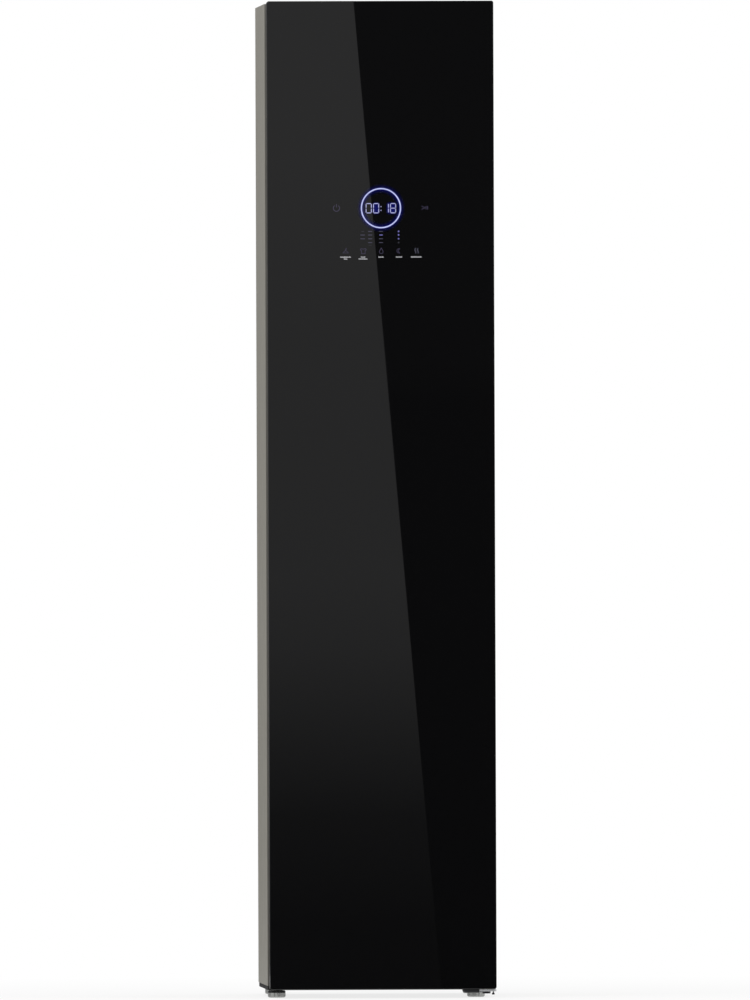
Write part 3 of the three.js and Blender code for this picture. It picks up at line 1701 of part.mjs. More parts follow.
const liner = new THREE.Group();
liner.add(
  piece("liner_left", linerSide(-1), finish.greyPlastic),
  piece("liner_right", linerSide(1), finish.greyPlastic),
  piece("liner_back", linerBackWall(), finish.greyPlastic),
  piece("liner_ceiling", linerCeiling(), finish.greyPlastic),
  piece("liner_floor", linerFloor(), finish.greyPlastic),
  piece("insulation_left", insulation(-1), finish.felt),
  piece("insulation_right", insulation(1), finish.felt),
  piece("cavity_lamp_lens", lampLens(), finish.whitePlastic),
);

const removable = new THREE.Group();
const shelf = piece("shelf", shelfPlate(), finish.whitePlastic);
shelf.position.set(0, shelfRow, hookHeight + seatGap);
const filter = piece("lint_filter", lintFilter(), finish.greyPlastic);
filter.position.set(0, filterRow, cavityFloor);
const cassette = piece("aroma_cassette", aromaCassette(), finish.whitePlastic);
cassette.position.set(0, cassetteRow, cavityFloor);
removable.add(shelf, filter, cassette);
["fresh", "drain"].forEach((name, index) => {
  const tank = new THREE.Group();
  tank.position.set((index - 0.5) * tankSpacing, tankRow, tankBottom);
  const lid = piece(`${name}_tank_lid`, tankLid(name === "drain"), finish.whitePlastic);
  lid.position.set(0, 0, tankHeight + seatGap);
  tank.add(piece(`${name}_tank`, tankTub(), finish.clearPlastic), lid);
  removable.add(tank);
});

const drive = new THREE.Group();
drive.add(
  piece("drive_frame", driveFrame(), finish.zinc),
  piece("yoke_carriage", yokeCarriage(), finish.blackPlastic),
  piece("hanger_bar", hangerBar(), finish.steel),
  piece("drive_motor", driveMotor(), finish.zinc),
  piece("drive_crank", crank(), finish.whitePlastic),
);

const air = new THREE.Group();
const wheel = piece("fan_wheel", fanWheel(), finish.blackPlastic);
const fanDrive = piece("fan_motor", fanMotor(), finish.zinc);
[wheel, fanDrive].forEach((part) => part.position.set(0, wheelRow, scrollHeight));
air.add(
  piece("fan_scroll", fanScroll(), finish.greyPlastic),
  wheel,
  fanDrive,
  piece("air_duct", airDuct(), finish.zinc),
  piece("air_heater", airHeater(), finish.aluminium),
);

const steam = new THREE.Group();
steam.add(
  piece("steam_generator", steamGenerator(), finish.aluminium),
  piece("feed_pump", feedPump(), finish.blackPlastic),
  piece("well_hose", wellHose(), finish.rubber),
  piece("feed_hose", feedHose(), finish.rubber),
  piece("steam_hose", steamHose(), finish.rubber),
  piece("steam_nozzle", steamNozzle(), finish.whitePlastic),
  piece("control_box", controlBox(), finish.whitePlastic),
);

const door = new THREE.Group();
door.add(
  piece("door_glass", doorGlass(), finish.blackGlass),
  piece("door_grip_rail", doorRail(-1, railFront, grooveFront), finish.darkTrim),
  piece("door_grip_back_rail", doorRail(-1, grooveBack, doorBack), finish.darkTrim),
  piece("door_grip_web", gripWeb(), finish.blackPlastic),
  piece("door_hinge_rail", doorRail(1, railFront, doorBack), finish.darkTrim),
  piece("door_top_cap", doorCap(capTopHigh, -1, hingePocketDepth), finish.blackPlastic),
  piece("door_bottom_cap", doorCap(capBottomLow, 1, 0), finish.blackPlastic),
  piece("door_bush_upper", hingeBush(capTopHigh - hingePocketDepth, -1), finish.bronze),
  piece("door_bush_lower", hingeBush(capBottomLow, 1), finish.bronze),
  piece("door_inner_panel", doorInnerPanel(), finish.greyPlastic),
  piece("door_core", doorCore(), finish.felt),
  piece("door_gasket", doorGasket(), finish.rubber),
  piece("display_housing", displayHousing(), finish.blackPlastic),
  piece("display_board", displayBoard(), finish.circuit),
);

cabinet.add(shell, liner, removable, drive, air, steam, door);

export default cabinet;
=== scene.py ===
import json
import math

import bmesh
import bpy
from mathutils import Matrix, Vector


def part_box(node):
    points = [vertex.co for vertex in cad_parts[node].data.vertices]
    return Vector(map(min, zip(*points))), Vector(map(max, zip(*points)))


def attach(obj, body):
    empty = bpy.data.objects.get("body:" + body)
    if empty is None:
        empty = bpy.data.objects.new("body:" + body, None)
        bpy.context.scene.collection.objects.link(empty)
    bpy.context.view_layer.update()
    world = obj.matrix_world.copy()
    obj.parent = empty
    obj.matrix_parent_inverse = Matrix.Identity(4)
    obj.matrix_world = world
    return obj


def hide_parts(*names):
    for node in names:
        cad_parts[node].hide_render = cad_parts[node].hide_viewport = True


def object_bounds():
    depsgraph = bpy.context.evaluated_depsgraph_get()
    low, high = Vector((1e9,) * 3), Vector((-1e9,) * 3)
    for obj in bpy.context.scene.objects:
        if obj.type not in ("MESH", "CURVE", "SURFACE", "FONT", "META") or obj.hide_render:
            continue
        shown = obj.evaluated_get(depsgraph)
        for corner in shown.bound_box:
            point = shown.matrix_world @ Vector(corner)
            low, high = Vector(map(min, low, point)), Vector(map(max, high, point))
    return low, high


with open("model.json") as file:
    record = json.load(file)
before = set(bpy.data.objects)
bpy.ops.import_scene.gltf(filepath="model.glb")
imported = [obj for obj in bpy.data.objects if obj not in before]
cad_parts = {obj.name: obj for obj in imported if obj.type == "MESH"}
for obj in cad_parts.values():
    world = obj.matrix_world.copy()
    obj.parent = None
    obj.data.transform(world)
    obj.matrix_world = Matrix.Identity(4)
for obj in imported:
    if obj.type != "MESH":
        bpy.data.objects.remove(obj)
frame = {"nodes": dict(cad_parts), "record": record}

cad_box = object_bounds()

# Sizes read from the frame, in metres
cad_low, cad_high = cad_box
glass_low, glass_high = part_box("door_glass")
MM = 0.001

# Camera: a long lens far off, a little to the cabinet's left, level with its middle
CAMERA_DISTANCE = 60.0
CAMERA_YAW = math.radians(2.1)
CAMERA_ROLL = math.radians(-0.197)
CLIP_NEAR = 1.0
CLIP_FAR = 3 * CAMERA_DISTANCE
SENSOR = 36.0
PIXELS_HIGH = 1000
PIXELS_PER_METRE = 538.95
DOOR_TOP_ROW = 1.15
DOOR_TOP_COLUMN = 379.75
COLUMN_LEAN = 0.00344
AIM = Vector((-0.0124, glass_low[1], 0.9240))

# Lamps: name, place, width and height in metres, power in watts
LAMP_AIM = (0, 0, 1.0)
LAMPS = (
    ("key", (-2.2, -2.6, 3.0), (1.6, 2.0), 28),
    ("fill", (2.6, -2.2, 2.2), (1.4, 2.0), 16),
)

# World: white where it is seen or mirrored, and a little weaker as light on the object
WHITE = (1.0, 1.0, 1.0)
WORLD_SEEN = 1.0
WORLD_SOFT = 0.8
SEEN_RAYS = ("Is Camera Ray", "Is Glossy Ray", "Is Transmission Ray")

# Floor: with the distance from the middle it fades from its paint to white
FLOOR_HALF = 7.0
FLOOR_DROP = 0.4 * MM
FLOOR_PAINT = (0.9, 0.9, 0.9)
FADE_REACH = (0.3, 2.5)
FADE_SHARE = (0.8, 1.0)

# Cards that the glass and the side mirror. Each fall lists rows of the photograph, each with the
# strength that the card has there
CARD_DISTANCE = 0.85
CARD_MARGIN = 0.35
GREY_FALL = ((0, 0.50), (150, 0.50), (340, 0.42), (580, 0.39),
             (650, 0.33), (750, 0.17), (820, 0.07), (930, 0.02))
FLAG_FALL = ((0, 0.018), (360, 0.012), (400, 0.0))
SIDE_FALL = ((0, 0.215), (230, 0.235), (700, 0.235), (860, 0.16), (980, 0.05))
# The slanted edge between the light and the dark of the glass, in pixels of the photograph
CARD_EDGE = ((353.5, 5), (435.5, 925))
# Corners in plan of the two cards beside the cabinet, in metres
SIDE_CARD = ((-0.15, 2.6), (-3.2, 2.6), (-3.2, -0.4))


def on_glass(column, row):
    """Where a pixel of the photograph lies on the door's front, as x and z in metres."""
    x = (column - DOOR_TOP_COLUMN - (row - DOOR_TOP_ROW) * COLUMN_LEAN) / PIXELS_PER_METRE
    z = glass_high[2] - (row - DOOR_TOP_ROW) / PIXELS_PER_METRE
    return x, z - x * COLUMN_LEAN


def linked(name, data):
    """A new object of the scene that holds the data."""
    item = bpy.data.objects.new(name, data)
    bpy.context.scene.collection.objects.link(item)
    return item


# Camera, lights, world and stage

def set_view():
    bpy.context.scene.view_settings.view_transform = "Standard"


def add_camera():
    data = bpy.data.cameras.new("camera")
    data.sensor_fit = "VERTICAL"
    data.sensor_height = SENSOR
    data.lens = SENSOR * CAMERA_DISTANCE * PIXELS_PER_METRE / PIXELS_HIGH
    data.clip_start = CLIP_NEAR
    data.clip_end = CLIP_FAR
    camera = linked("camera", data)
    forward = Vector((math.sin(CAMERA_YAW), math.cos(CAMERA_YAW), 0.0))
    turn = Matrix.Rotation(-CAMERA_YAW, 4, "Z") @ Matrix.Rotation(math.pi / 2, 4, "X")
    turn = turn @ Matrix.Rotation(CAMERA_ROLL, 4, "Z")
    camera.matrix_world = Matrix.Translation(AIM - forward * CAMERA_DISTANCE) @ turn
    bpy.context.scene.camera = camera


def area_light(name, place, size, power):
    data = bpy.data.lights.new(name, "AREA")
    data.shape = "RECTANGLE"
    data.size, data.size_y = size
    data.energy = power
    lamp = linked(name, data)
    lamp.location = place
    way = Vector(LAMP_AIM) - Vector(place)
    lamp.rotation_euler = way.to_track_quat("-Z", "Y").to_euler()


def light_path_mask(tree, rays):
    """One where a ray is any of the named kinds, else zero."""
    path = tree.nodes.new("ShaderNodeLightPath")
    out = path.outputs[rays[0]]
    for ray in rays[1:]:
        both = tree.nodes.new("ShaderNodeMath")
        both.operation = "MAXIMUM"
        tree.links.new(out, both.inputs[0])
        tree.links.new(path.outputs[ray], both.inputs[1])
        out = both.outputs[0]
    return out


def set_world():
    world = bpy.data.worlds.new("studio")
    bpy.context.scene.world = world
    world.use_nodes = True
    tree = world.node_tree
    tree.nodes.clear()
    soft = tree.nodes.new("ShaderNodeBackground")
    soft.inputs["Strength"].default_value = WORLD_SOFT
    seen = tree.nodes.new("ShaderNodeBackground")
    seen.inputs["Strength"].default_value = WORLD_SEEN
    for node in (soft, seen):
        node.inputs["Color"].default_value = (*WHITE, 1)
    mix = tree.nodes.new("ShaderNodeMixShader")
    out = tree.nodes.new("ShaderNodeOutputWorld")
    rays = light_path_mask(tree, SEEN_RAYS)
    tree.links.new(rays, mix.inputs[0])
    tree.links.new(soft.outputs[0], mix.inputs[1])
    tree.links.new(seen.outputs[0], mix.inputs[2])
    tree.links.new(mix.outputs[0], out.inputs[0])


def plane_mesh(name, corners):
    mesh = bpy.data.meshes.new(name)
    mesh.from_pydata(corners, [], [tuple(range(len(corners)))])
    return linked(name, mesh)


def add_floor():
    """A pale floor that keeps the shadow near the object and fades to the white background."""
    h = FLOOR_HALF
    z = -FLOOR_DROP
    floor = plane_mesh("floor", [(-h, -h, z), (h, -h, z), (h, h, z), (-h, h, z)])
    material = bpy.data.materials.new("floor_paint")
    material.use_nodes = True
    tree = material.node_tree
    tree.nodes.clear()
    matt = tree.nodes.new("ShaderNodeBsdfDiffuse")
    matt.inputs["Color"].default_value = (*FLOOR_PAINT, 1)
    light = tree.nodes.new("ShaderNodeEmission")
    light.inputs["Color"].default_value = (*WHITE, 1)
    place = tree.nodes.new("ShaderNodeTexCoord")
    length = tree.nodes.new("ShaderNodeVectorMath")
    length.operation = "LENGTH"
    fade = tree.nodes.new("ShaderNodeMapRange")
    fade.inputs["From Min"].default_value, fade.inputs["From Max"].default_value = FADE_REACH
    fade.inputs["To Min"].default_value, fade.inputs["To Max"].default_value = FADE_SHARE
    rays = light_path_mask(tree, SEEN_RAYS)
    share = tree.nodes.new("ShaderNodeMath")
    share.operation = "MULTIPLY"
    mix = tree.nodes.new("ShaderNodeMixShader")
    out = tree.nodes.new("ShaderNodeOutputMaterial")
    link = tree.links.new
    link(place.outputs["Object"], length.inputs[0])
    link(length.outputs["Value"], fade.inputs["Value"])
    link(fade.outputs["Result"], share.inputs[0])
    link(rays, share.inputs[1])
    link(share.outputs[0], mix.inputs[0])
    link(matt.outputs[0], mix.inputs[1])
    link(light.outputs[0], mix.inputs[2])
    link(mix.outputs[0], out.inputs[0])
    floor.data.materials.append(material)


def reflection_only(card):
    card.visible_camera = False
    card.visible_diffuse = False
    card.visible_shadow = False
    card.visible_transmission = False
    card.visible_volume_scatter = False


def glow_card(name, corners, fall):
    """A dim upright card, seen only in reflections, whose strength changes with height."""
    card = plane_mesh(name, corners)
    material = bpy.data.materials.new(name)
    material.use_nodes = True
    tree = material.node_tree
    tree.nodes.clear()
    place = tree.nodes.new("ShaderNodeTexCoord")
    split = tree.nodes.new("ShaderNodeSeparateXYZ")
    height = tree.nodes.new("ShaderNodeMapRange")
    height.inputs["From Min"].default_value = glass_high[2]
    height.inputs["From Max"].default_value = glass_high[2] - PIXELS_HIGH / PIXELS_PER_METRE
    ramp = tree.nodes.new("ShaderNodeValToRGB")
    steps = ramp.color_ramp.elements
    while len(steps) > 1:
        steps.remove(steps[-1])
    for index, (row, value) in enumerate(fall):
        spot = row / PIXELS_HIGH
        step = steps[0] if index == 0 else steps.new(spot)
        step.position = spot
        step.color = (value, value, value, 1)
    light = tree.nodes.new("ShaderNodeEmission")
    out = tree.nodes.new("ShaderNodeOutputMaterial")
    link = tree.links.new
    link(place.outputs["Object"], split.inputs[0])
    link(split.outputs["Z"], height.inputs["Value"])
    link(height.outputs["Result"], ramp.inputs[0])
    link(ramp.outputs[0], light.inputs["Color"])
    link(light.outputs[0], out.inputs[0])
    card.data.materials.append(material)
    reflection_only(card)


def mirrored(x, z):
    """Where the camera's ray lands on the cards, once a point of the glass has turned it back."""
    camera = bpy.context.scene.camera.matrix_world.translation
    ray = Vector((x, glass_low[1], z)) - camera
    share = CARD_DISTANCE / ray.y
    return x + ray.x * share, z + ray.z * share


def add_cards():
    """Left of a slanted edge a grey card lights the glass, right of it a dark flag.

    Two more cards stand beside the cabinet, for its left side to mirror.
    """
    y = glass_low[1] - CARD_DISTANCE
    (top_x, top_z), (foot_x, foot_z) = (mirrored(*on_glass(*pixel)) for pixel in CARD_EDGE)
    slope = (foot_x - top_x) / (foot_z - top_z)
    high = cad_high[2] + CARD_MARGIN
    deep = -CARD_MARGIN
    edge_high, edge_deep = (top_x + (z - top_z) * slope for z in (high, deep))
    left = cad_low[0] - CARD_MARGIN
    right = cad_high[0] + CARD_MARGIN
    grey = [(left, y, deep), (edge_deep, y, deep), (edge_high, y, high), (left, y, high)]
    flag = [(edge_deep, y, deep), (right, y, deep), (right, y, high), (edge_high, y, high)]
    glow_card("grey_card", grey, GREY_FALL)
    glow_card("dark_flag", flag, FLAG_FALL)
    for index, (a, b) in enumerate(zip(SIDE_CARD, SIDE_CARD[1:])):
        corners = [(*a, deep), (*b, deep), (*b, high), (*a, high)]
        glow_card(f"side_card_{index}", corners, SIDE_FALL)


# Materials. Colours are linear, depths and edges in metres

EVEN = (1, 1, 1)
NOISE_SPAN = (0.3, 0.7)
BEVEL_SAMPLES = 4
SOFT_EDGE = 0.0006
WIDE_EDGE = 0.0008


def new_material(name, base, roughness, metallic=0.0):
    material = bpy.data.materials.new(name)
    material.use_nodes = True
    shader = material.node_tree.nodes["Principled BSDF"]
    shader.inputs["Base Color"].default_value = (*base, 1)
    shader.inputs["Roughness"].default_value = roughness
    shader.inputs["Metallic"].default_value = metallic
    return material, material.node_tree, shader


def noise(tree, scale, detail, stretch=EVEN):
    """A cloud in the object's own metres, stretched along an axis where asked."""
    place = tree.nodes.new("ShaderNodeTexCoord")
    mapping = tree.nodes.new("ShaderNodeMapping")
    mapping.inputs["Scale"].default_value = stretch
    cloud = tree.nodes.new("ShaderNodeTexNoise")
    cloud.inputs["Scale"].default_value = scale
    cloud.inputs["Detail"].default_value = detail
    tree.links.new(place.outputs["Object"], mapping.inputs["Vector"])
    tree.links.new(mapping.outputs["Vector"], cloud.inputs["Vector"])
    return cloud.outputs["Fac"]


def tone(tree, shader, value, base, spread):
    """Lets the colour wander a little round its base."""
    ramp = tree.nodes.new("ShaderNodeValToRGB")
    dark, light = ramp.color_ramp.elements
    dark.position, light.position = NOISE_SPAN
    dark.color = (*[c * (1 - spread) for c in base], 1)
    light.color = (*[min(1.0, c * (1 + spread)) for c in base], 1)
    tree.links.new(value, ramp.inputs[0])
    tree.links.new(ramp.outputs[0], shader.inputs["Base Color"])


def polish(tree, shader, value, low, high):
    """Lets the roughness wander between two values."""
    span = tree.nodes.new("ShaderNodeMapRange")
    span.inputs["From Min"].default_value, span.inputs["From Max"].default_value = NOISE_SPAN
    span.inputs["To Min"].default_value = low
    span.inputs["To Max"].default_value = high
    tree.links.new(value, span.inputs["Value"])
    tree.links.new(span.outputs["Result"], shader.inputs["Roughness"])


def relief(tree, shader, value, depth, edge=0.0):
    """Fine bumps, over edges that are softened by a small radius where one is given."""
    bump = tree.nodes.new("ShaderNodeBump")
    bump.inputs["Distance"].default_value = depth
    bump.inputs["Strength"].default_value = 1.0
    tree.links.new(value, bump.inputs["Height"])
    if edge:
        bevel = tree.nodes.new("ShaderNodeBevel")
        bevel.samples = BEVEL_SAMPLES
        bevel.inputs["Radius"].default_value = edge
        tree.links.new(bevel.outputs["Normal"], bump.inputs["Normal"])
    tree.links.new(bump.outputs["Normal"], shader.inputs["Normal"])


def powder_coat(name, base, roughness, specular=0.3):
    material, tree, shader = new_material(name, base, roughness)
    shader.inputs["Specular IOR Level"].default_value = specular
    tone(tree, shader, noise(tree, 9, 3), base, 0.025)
    polish(tree, shader, noise(tree, 40, 3), roughness - 0.05, roughness + 0.05)
    relief(tree, shader, noise(tree, 1600, 2), 0.00006, WIDE_EDGE)
    return material


def moulded(name, base, roughness, grain=900, depth=0.00004, spread=0.03, specular=0.5):
    material, tree, shader = new_material(name, base, roughness)
    shader.inputs["Specular IOR Level"].default_value = specular
    tone(tree, shader, noise(tree, 14, 3), base, spread)
    polish(tree, shader, noise(tree, 60, 3), roughness - 0.05, roughness + 0.06)
    relief(tree, shader, noise(tree, grain, 2), depth, SOFT_EDGE)
    return material


def metal(name, base, low, high, scale, depth=0.00002, spread=0.05, stretch=EVEN):
    material, tree, shader = new_material(name, base, low, 1.0)
    value = noise(tree, scale, 4, stretch)
    tone(tree, shader, noise(tree, 30, 4), base, spread)
    polish(tree, shader, value, low, high)
    relief(tree, shader, value, depth, SOFT_EDGE)
    return material


def brushed_trim_and_shade(name, base):
    """Dark anodised trim with fine lines along its length; also the dark paint for painted shade on
    the side folds.
    """
    material, tree, shader = new_material(name, base, 0.5)
    shader.inputs["Specular IOR Level"].default_value = 0.02
    lines = noise(tree, 900, 3, (1, 1, 0.02))
    tone(tree, shader, lines, base, 0.06)
    polish(tree, shader, lines, 0.44, 0.56)
    relief(tree, shader, lines, 0.00001, SOFT_EDGE)
    return material


def black_glass():
    material, tree, shader = new_material("black_glass", (0.0033, 0.0033, 0.0036), 0.012)
    shader.inputs["IOR"].default_value = 1.5
    polish(tree, shader, noise(tree, 6, 2), 0.008, 0.02)
    return material


def felt():
    base = (0.205, 0.195, 0.175)
    material, tree, shader = new_material("felt", base, 0.95)
    shader.inputs["Sheen Weight"].default_value = 0.3
    tone(tree, shader, noise(tree, 400, 6), base, 0.3)
    relief(tree, shader, noise(tree, 900, 6, (1, 1, 0.3)), 0.0006)
    return material


def tank_plastic():
    base = (0.42, 0.53, 0.62)
    material, tree, shader = new_material("tank_plastic", base, 0.12)
    shader.inputs["Transmission Weight"].default_value = 0.7
    shader.inputs["IOR"].default_value = 1.5
    tone(tree, shader, noise(tree, 20, 2), base, 0.03)
    polish(tree, shader, noise(tree, 80, 3), 0.08, 0.16)
    relief(tree, shader, noise(tree, 260, 2), 0.00003, WIDE_EDGE)
    return material


def circuit():
    """Green solder mask with a pattern of paler tracks."""
    base = (0.014, 0.068, 0.034)
    material, tree, shader = new_material("circuit", base, 0.35)
    place = tree.nodes.new("ShaderNodeTexCoord")
    tracks = tree.nodes.new("ShaderNodeTexBrick")
    tracks.inputs["Scale"].default_value = 140
    tracks.inputs["Mortar Size"].default_value = 0.04
    tracks.inputs["Color1"].default_value = (*base, 1)
    tracks.inputs["Color2"].default_value = (0.011, 0.055, 0.028, 1)
    tracks.inputs["Mortar"].default_value = (0.05, 0.16, 0.07, 1)
    turn = tree.nodes.new("ShaderNodeMapping")
    turn.inputs["Rotation"].default_value = (math.pi / 2, 0, 0)
    tree.links.new(place.outputs["Object"], turn.inputs["Vector"])
    tree.links.new(turn.outputs["Vector"], tracks.inputs["Vector"])
    tree.links.new(tracks.outputs["Color"], shader.inputs["Base Color"])
    relief(tree, shader, tracks.outputs["Fac"], 0.00005)
    return material


def make_materials():
    """One material for each slot of the record, and a dark paint for the bars of painted shade on
    the folds.
    """
    return {
        "black_glass": black_glass(),
        "side_steel": powder_coat("side_steel", (0.27, 0.257, 0.2215), 0.5),
        "inner_steel": metal("inner_steel", (0.5, 0.51, 0.5), 0.42, 0.5, scale=90),
        "tray_steel": powder_coat("tray_steel", (0.0168, 0.0168, 0.0176), 0.65, specular=0.08),
        "dark_trim": brushed_trim_and_shade("dark_trim", (0.066, 0.063, 0.058)),
        # Painted shade for the dark bars on the side panels' front folds
        "edge_shade_paint": brushed_trim_and_shade("edge_shade_paint", (0.165, 0.159, 0.147)),
        "black_plastic": moulded("black_plastic", (0.0116, 0.0116, 0.013), 0.5, specular=0.25),
        "grey_plastic": moulded("grey_plastic", (0.584, 0.604, 0.617), 0.42,
                                grain=700, depth=0.00003, spread=0.015),
        "white_plastic": moulded("white_plastic", (0.79, 0.8, 0.8), 0.35,
                                 grain=700, depth=0.00002, spread=0.012),
        "lens_plastic": moulded("lens_plastic", (0.9, 0.9, 0.87), 0.2,
                                grain=300, depth=0.00004, spread=0.01),
        "tank_plastic": tank_plastic(),
        "zinc_steel": metal("zinc_steel", (0.6, 0.61, 0.62), 0.42, 0.56, scale=120, spread=0.08),
        "bright_steel": metal("bright_steel", (0.62, 0.62, 0.615), 0.34, 0.46, scale=420,
                              depth=0.00001, spread=0.04, stretch=(0.05, 1, 1)),
        "aluminium": metal("aluminium", (0.62, 0.63, 0.64), 0.3, 0.5, scale=200,
                           depth=0.00008, spread=0.06),
        "rubber": moulded("rubber", (0.0423, 0.0437, 0.0467), 0.75,
                          grain=1200, depth=0.00008, spread=0.08),
        "felt": felt(),
        "circuit": circuit(),
        "bronze": metal("bronze", (0.376, 0.254, 0.091), 0.35, 0.5, scale=500,
                        depth=0.00008, spread=0.1),
    }


def dress_nodes(materials):
    """Gives each node of the frame its slot's material, the feet a steel darkened as painted shade.
    """
    # The feet's darker steel is painted shade, standing in for dark surroundings mirrored in them
    foot_steel_painted_shade = metal("foot_steel_painted_shade", (0.34, 0.345, 0.335), 0.22, 0.4, scale=420,
                       depth=0.00012, spread=0.12, stretch=(1, 1, 0.25))
    for part in frame["record"]["subparts"]:
        node = frame["nodes"][part["node"]]
        own = foot_steel_painted_shade if part["node"].startswith("foot_") else materials[part["material_slot"]]
        node.data.materials.clear()
        node.data.materials.append(own)


# Shapes that the pieces are built from

def circle(radius, centre=(0, 0), start=0.0, stop=360.0, sides=96):
    """Points along an arc given in degrees, both its ends included."""
    turn = [math.radians(start + (stop - start) * step / sides) for step in range(sides + 1)]
    return [(centre[0] + radius * math.cos(a), centre[1] + radius * math.sin(a)) for a in turn]


def ring_faces(low, high, count):
    """Faces between two rings of points, each given by its first point's number."""
    faces = []
    for index in range(count):
        after = (index + 1) % count
        faces.append((low + index, low + after, high + after, high + index))
    return faces


def lofted(name, sections, material, body):
    """A closed body through sections of equal point counts, each a list of 3-D points."""
    mesh = bpy.data.meshes.new(name)
    count = len(sections[0])
    points = [point for section in sections for point in section]
    faces = [tuple(range(count))]
    for level in range(len(sections) - 1):
        low = level * count
        for index in range(count):
            after = (index + 1) % count
            faces.append((low + index, low + count + index, low + count + after, low + after))
    faces.append(tuple(reversed(range(len(points) - count, len(points)))))
    mesh.from_pydata(points, [], faces)
    shell = bmesh.new()
    shell.from_mesh(mesh)
    bmesh.ops.recalc_face_normals(shell, faces=list(shell.faces))
    shell.to_mesh(mesh)
    shell.free()
    mesh.materials.append(material)
    piece = linked(name, mesh)
    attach(piece, body)
    return piece


# Glass pane with ground edges, in millimetres, its front a hair behind the lit shapes

PANE_SETBACK = 0.1
PANE_RADIUS = 4.0
PANE_LEAST_RADIUS = 0.05
PANE_ARRIS = 0.7
ARRIS_BEND = 0.3
CORNER_STEPS = 10


def rounded_outline(low, high, radius, inset):
    """Points round a rectangle with rounded corners, drawn in by the inset."""
    points = []
    r = max(radius - inset, PANE_LEAST_RADIUS * MM)
    corners = ((high[0], high[1], 0), (low[0], high[1], 90),
               (low[0], low[1], 180), (high[0], low[1], 270))
    for x, z, start in corners:
        middle = (x - math.copysign(radius, x), z - (radius if z == high[1] else -radius))
        for step in range(CORNER_STEPS + 1):
            angle = math.radians(start + 90 * step / CORNER_STEPS)
            points.append((middle[0] + r * math.cos(angle), middle[1] + r * math.sin(angle)))
    return points


def add_pane(material):
    low = (glass_low[0], glass_low[2])
    high = (glass_high[0], glass_high[2])
    front = glass_low[1] + PANE_SETBACK * MM
    back = glass_high[1]
    arris = PANE_ARRIS * MM
    levels = (
        (front, arris),
        (front + ARRIS_BEND * arris, ARRIS_BEND * arris),
        (front + arris, 0),
        (back - arris, 0),
        (back, arris),
    )
    sections = []
    for y, inset in levels:
        outline = rounded_outline(low, high, PANE_RADIUS * MM, inset)
        sections.append([(x, y, z) for x, z in outline])
    pane = lofted("glass_pane", sections, material, "door")
    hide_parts("door_glass")


# Dark bars of painted shade on the front folds of the side panels, in millimetres

EDGE_WIDTH = 4.0
EDGE_STAND = 0.2
EDGE_DEPTH = 1.6
EDGE_BREAK = 0.4
EDGE_END = 1.5


def add_edge_shade_bars(material):
    """A closed bar of painted shade down each fold, its front corners broken, its ends drawn in."""
    cut = EDGE_BREAK * MM
    for side, sign in (("left", -1), ("right", 1)):
        low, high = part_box(f"side_panel_{side}")
        outer = (low[0] if side == "left" else high[0]) - sign * EDGE_STAND * MM
        inner = outer - sign * EDGE_WIDTH * MM
        back = low[1] - EDGE_STAND * MM
        front = back - EDGE_DEPTH * MM
        levels = (
            (low[2] + EDGE_STAND * MM, front + cut),
            (low[2] + EDGE_END * MM, front),
            (high[2] - EDGE_END * MM, front),
            (high[2] - EDGE_STAND * MM, front + cut),
        )
        sections = []
        for z, face in levels:
            section = [(outer, back), (outer, face + cut), (outer - sign * cut, face),
                       (inner + sign * cut, face), (inner, face + cut), (inner, back)]
            sections.append([(x, y, z) for x, y in section])
        lofted(f"edge_shade_bar_{side}", sections, material, "cabinet")


# Small parts at the floor, in millimetres: the block beside the lower hinge plate, black bands on
# the feet as painted shade for their collars' dark reflection, a nut under the plate, made black as
# painted shade for the dark line there, and a screw under the plate

BLOCK_ROUND = 5.0
BLOCK_STEPS = 6
BLOCK_CORNERS = (7.5, 15.0)
BAND_INNER = 15.6
BAND_OUTER = 16.3
BAND_HEIGHTS = (9.1, 12.2)
BAND_EDGE = 0.5
BAND_SIDES = 48
NUT_RADIUS = 7.6
NUT_HEIGHTS = (7.2, 11.1)
NUT_EDGE = 0.6
NUT_SIDES = 6
SCREW_PLACE = (204.5, -284.0)
SCREW_RADIUS = 2.5
SCREW_HEIGHTS = (5.4, 8.6, 11.1)
SCREW_EDGE = 0.5
SCREW_SIDES = 24


def turned_rings(centre, profile, sides):
    """Level rings of points round a centre, one for each radius and height in millimetres."""
    rings = []
    for radius, height in profile:
        ring = []
        for step in range(sides):
            angle = 2 * math.pi * step / sides
            x = centre[0] + radius * MM * math.cos(angle)
            y = centre[1] + radius * MM * math.sin(angle)
            ring.append((x, y, height * MM))
        rings.append(ring)
    return rings


def middle_of(node):
    low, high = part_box(node)
    return [(a + b) / 2 for a, b in zip(low, high)]


def add_stop_block(material):
    """The block beside the lower hinge plate, rounded below on every side but the plate's."""
    low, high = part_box("hinge_stop_block")
    levels = []
    for step in range(BLOCK_STEPS + 1):
        turn = math.pi / 2 * step / BLOCK_STEPS
        rise = BLOCK_ROUND * MM * (1 - math.cos(turn))
        levels.append((BLOCK_ROUND * MM * (1 - math.sin(turn)), low[2] + rise))
    levels.append((0, high[2]))
    sections = []
    for inset, z in levels:
        left, front, rear = low[0] + inset, low[1] + inset, high[1] - inset
        small, large = (radius * MM - inset for radius in BLOCK_CORNERS)
        section = [(high[0], front), (high[0], rear)]
        section += circle(small, (left + small, rear - small), 90, 180, BLOCK_STEPS)
        section += circle(large, (left + large, front + large), 180, 270, BLOCK_STEPS)
        sections.append([(x, y, z) for x, y in section])
    block = lofted("stop_block", sections, material, "cabinet")
    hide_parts("hinge_stop_block")


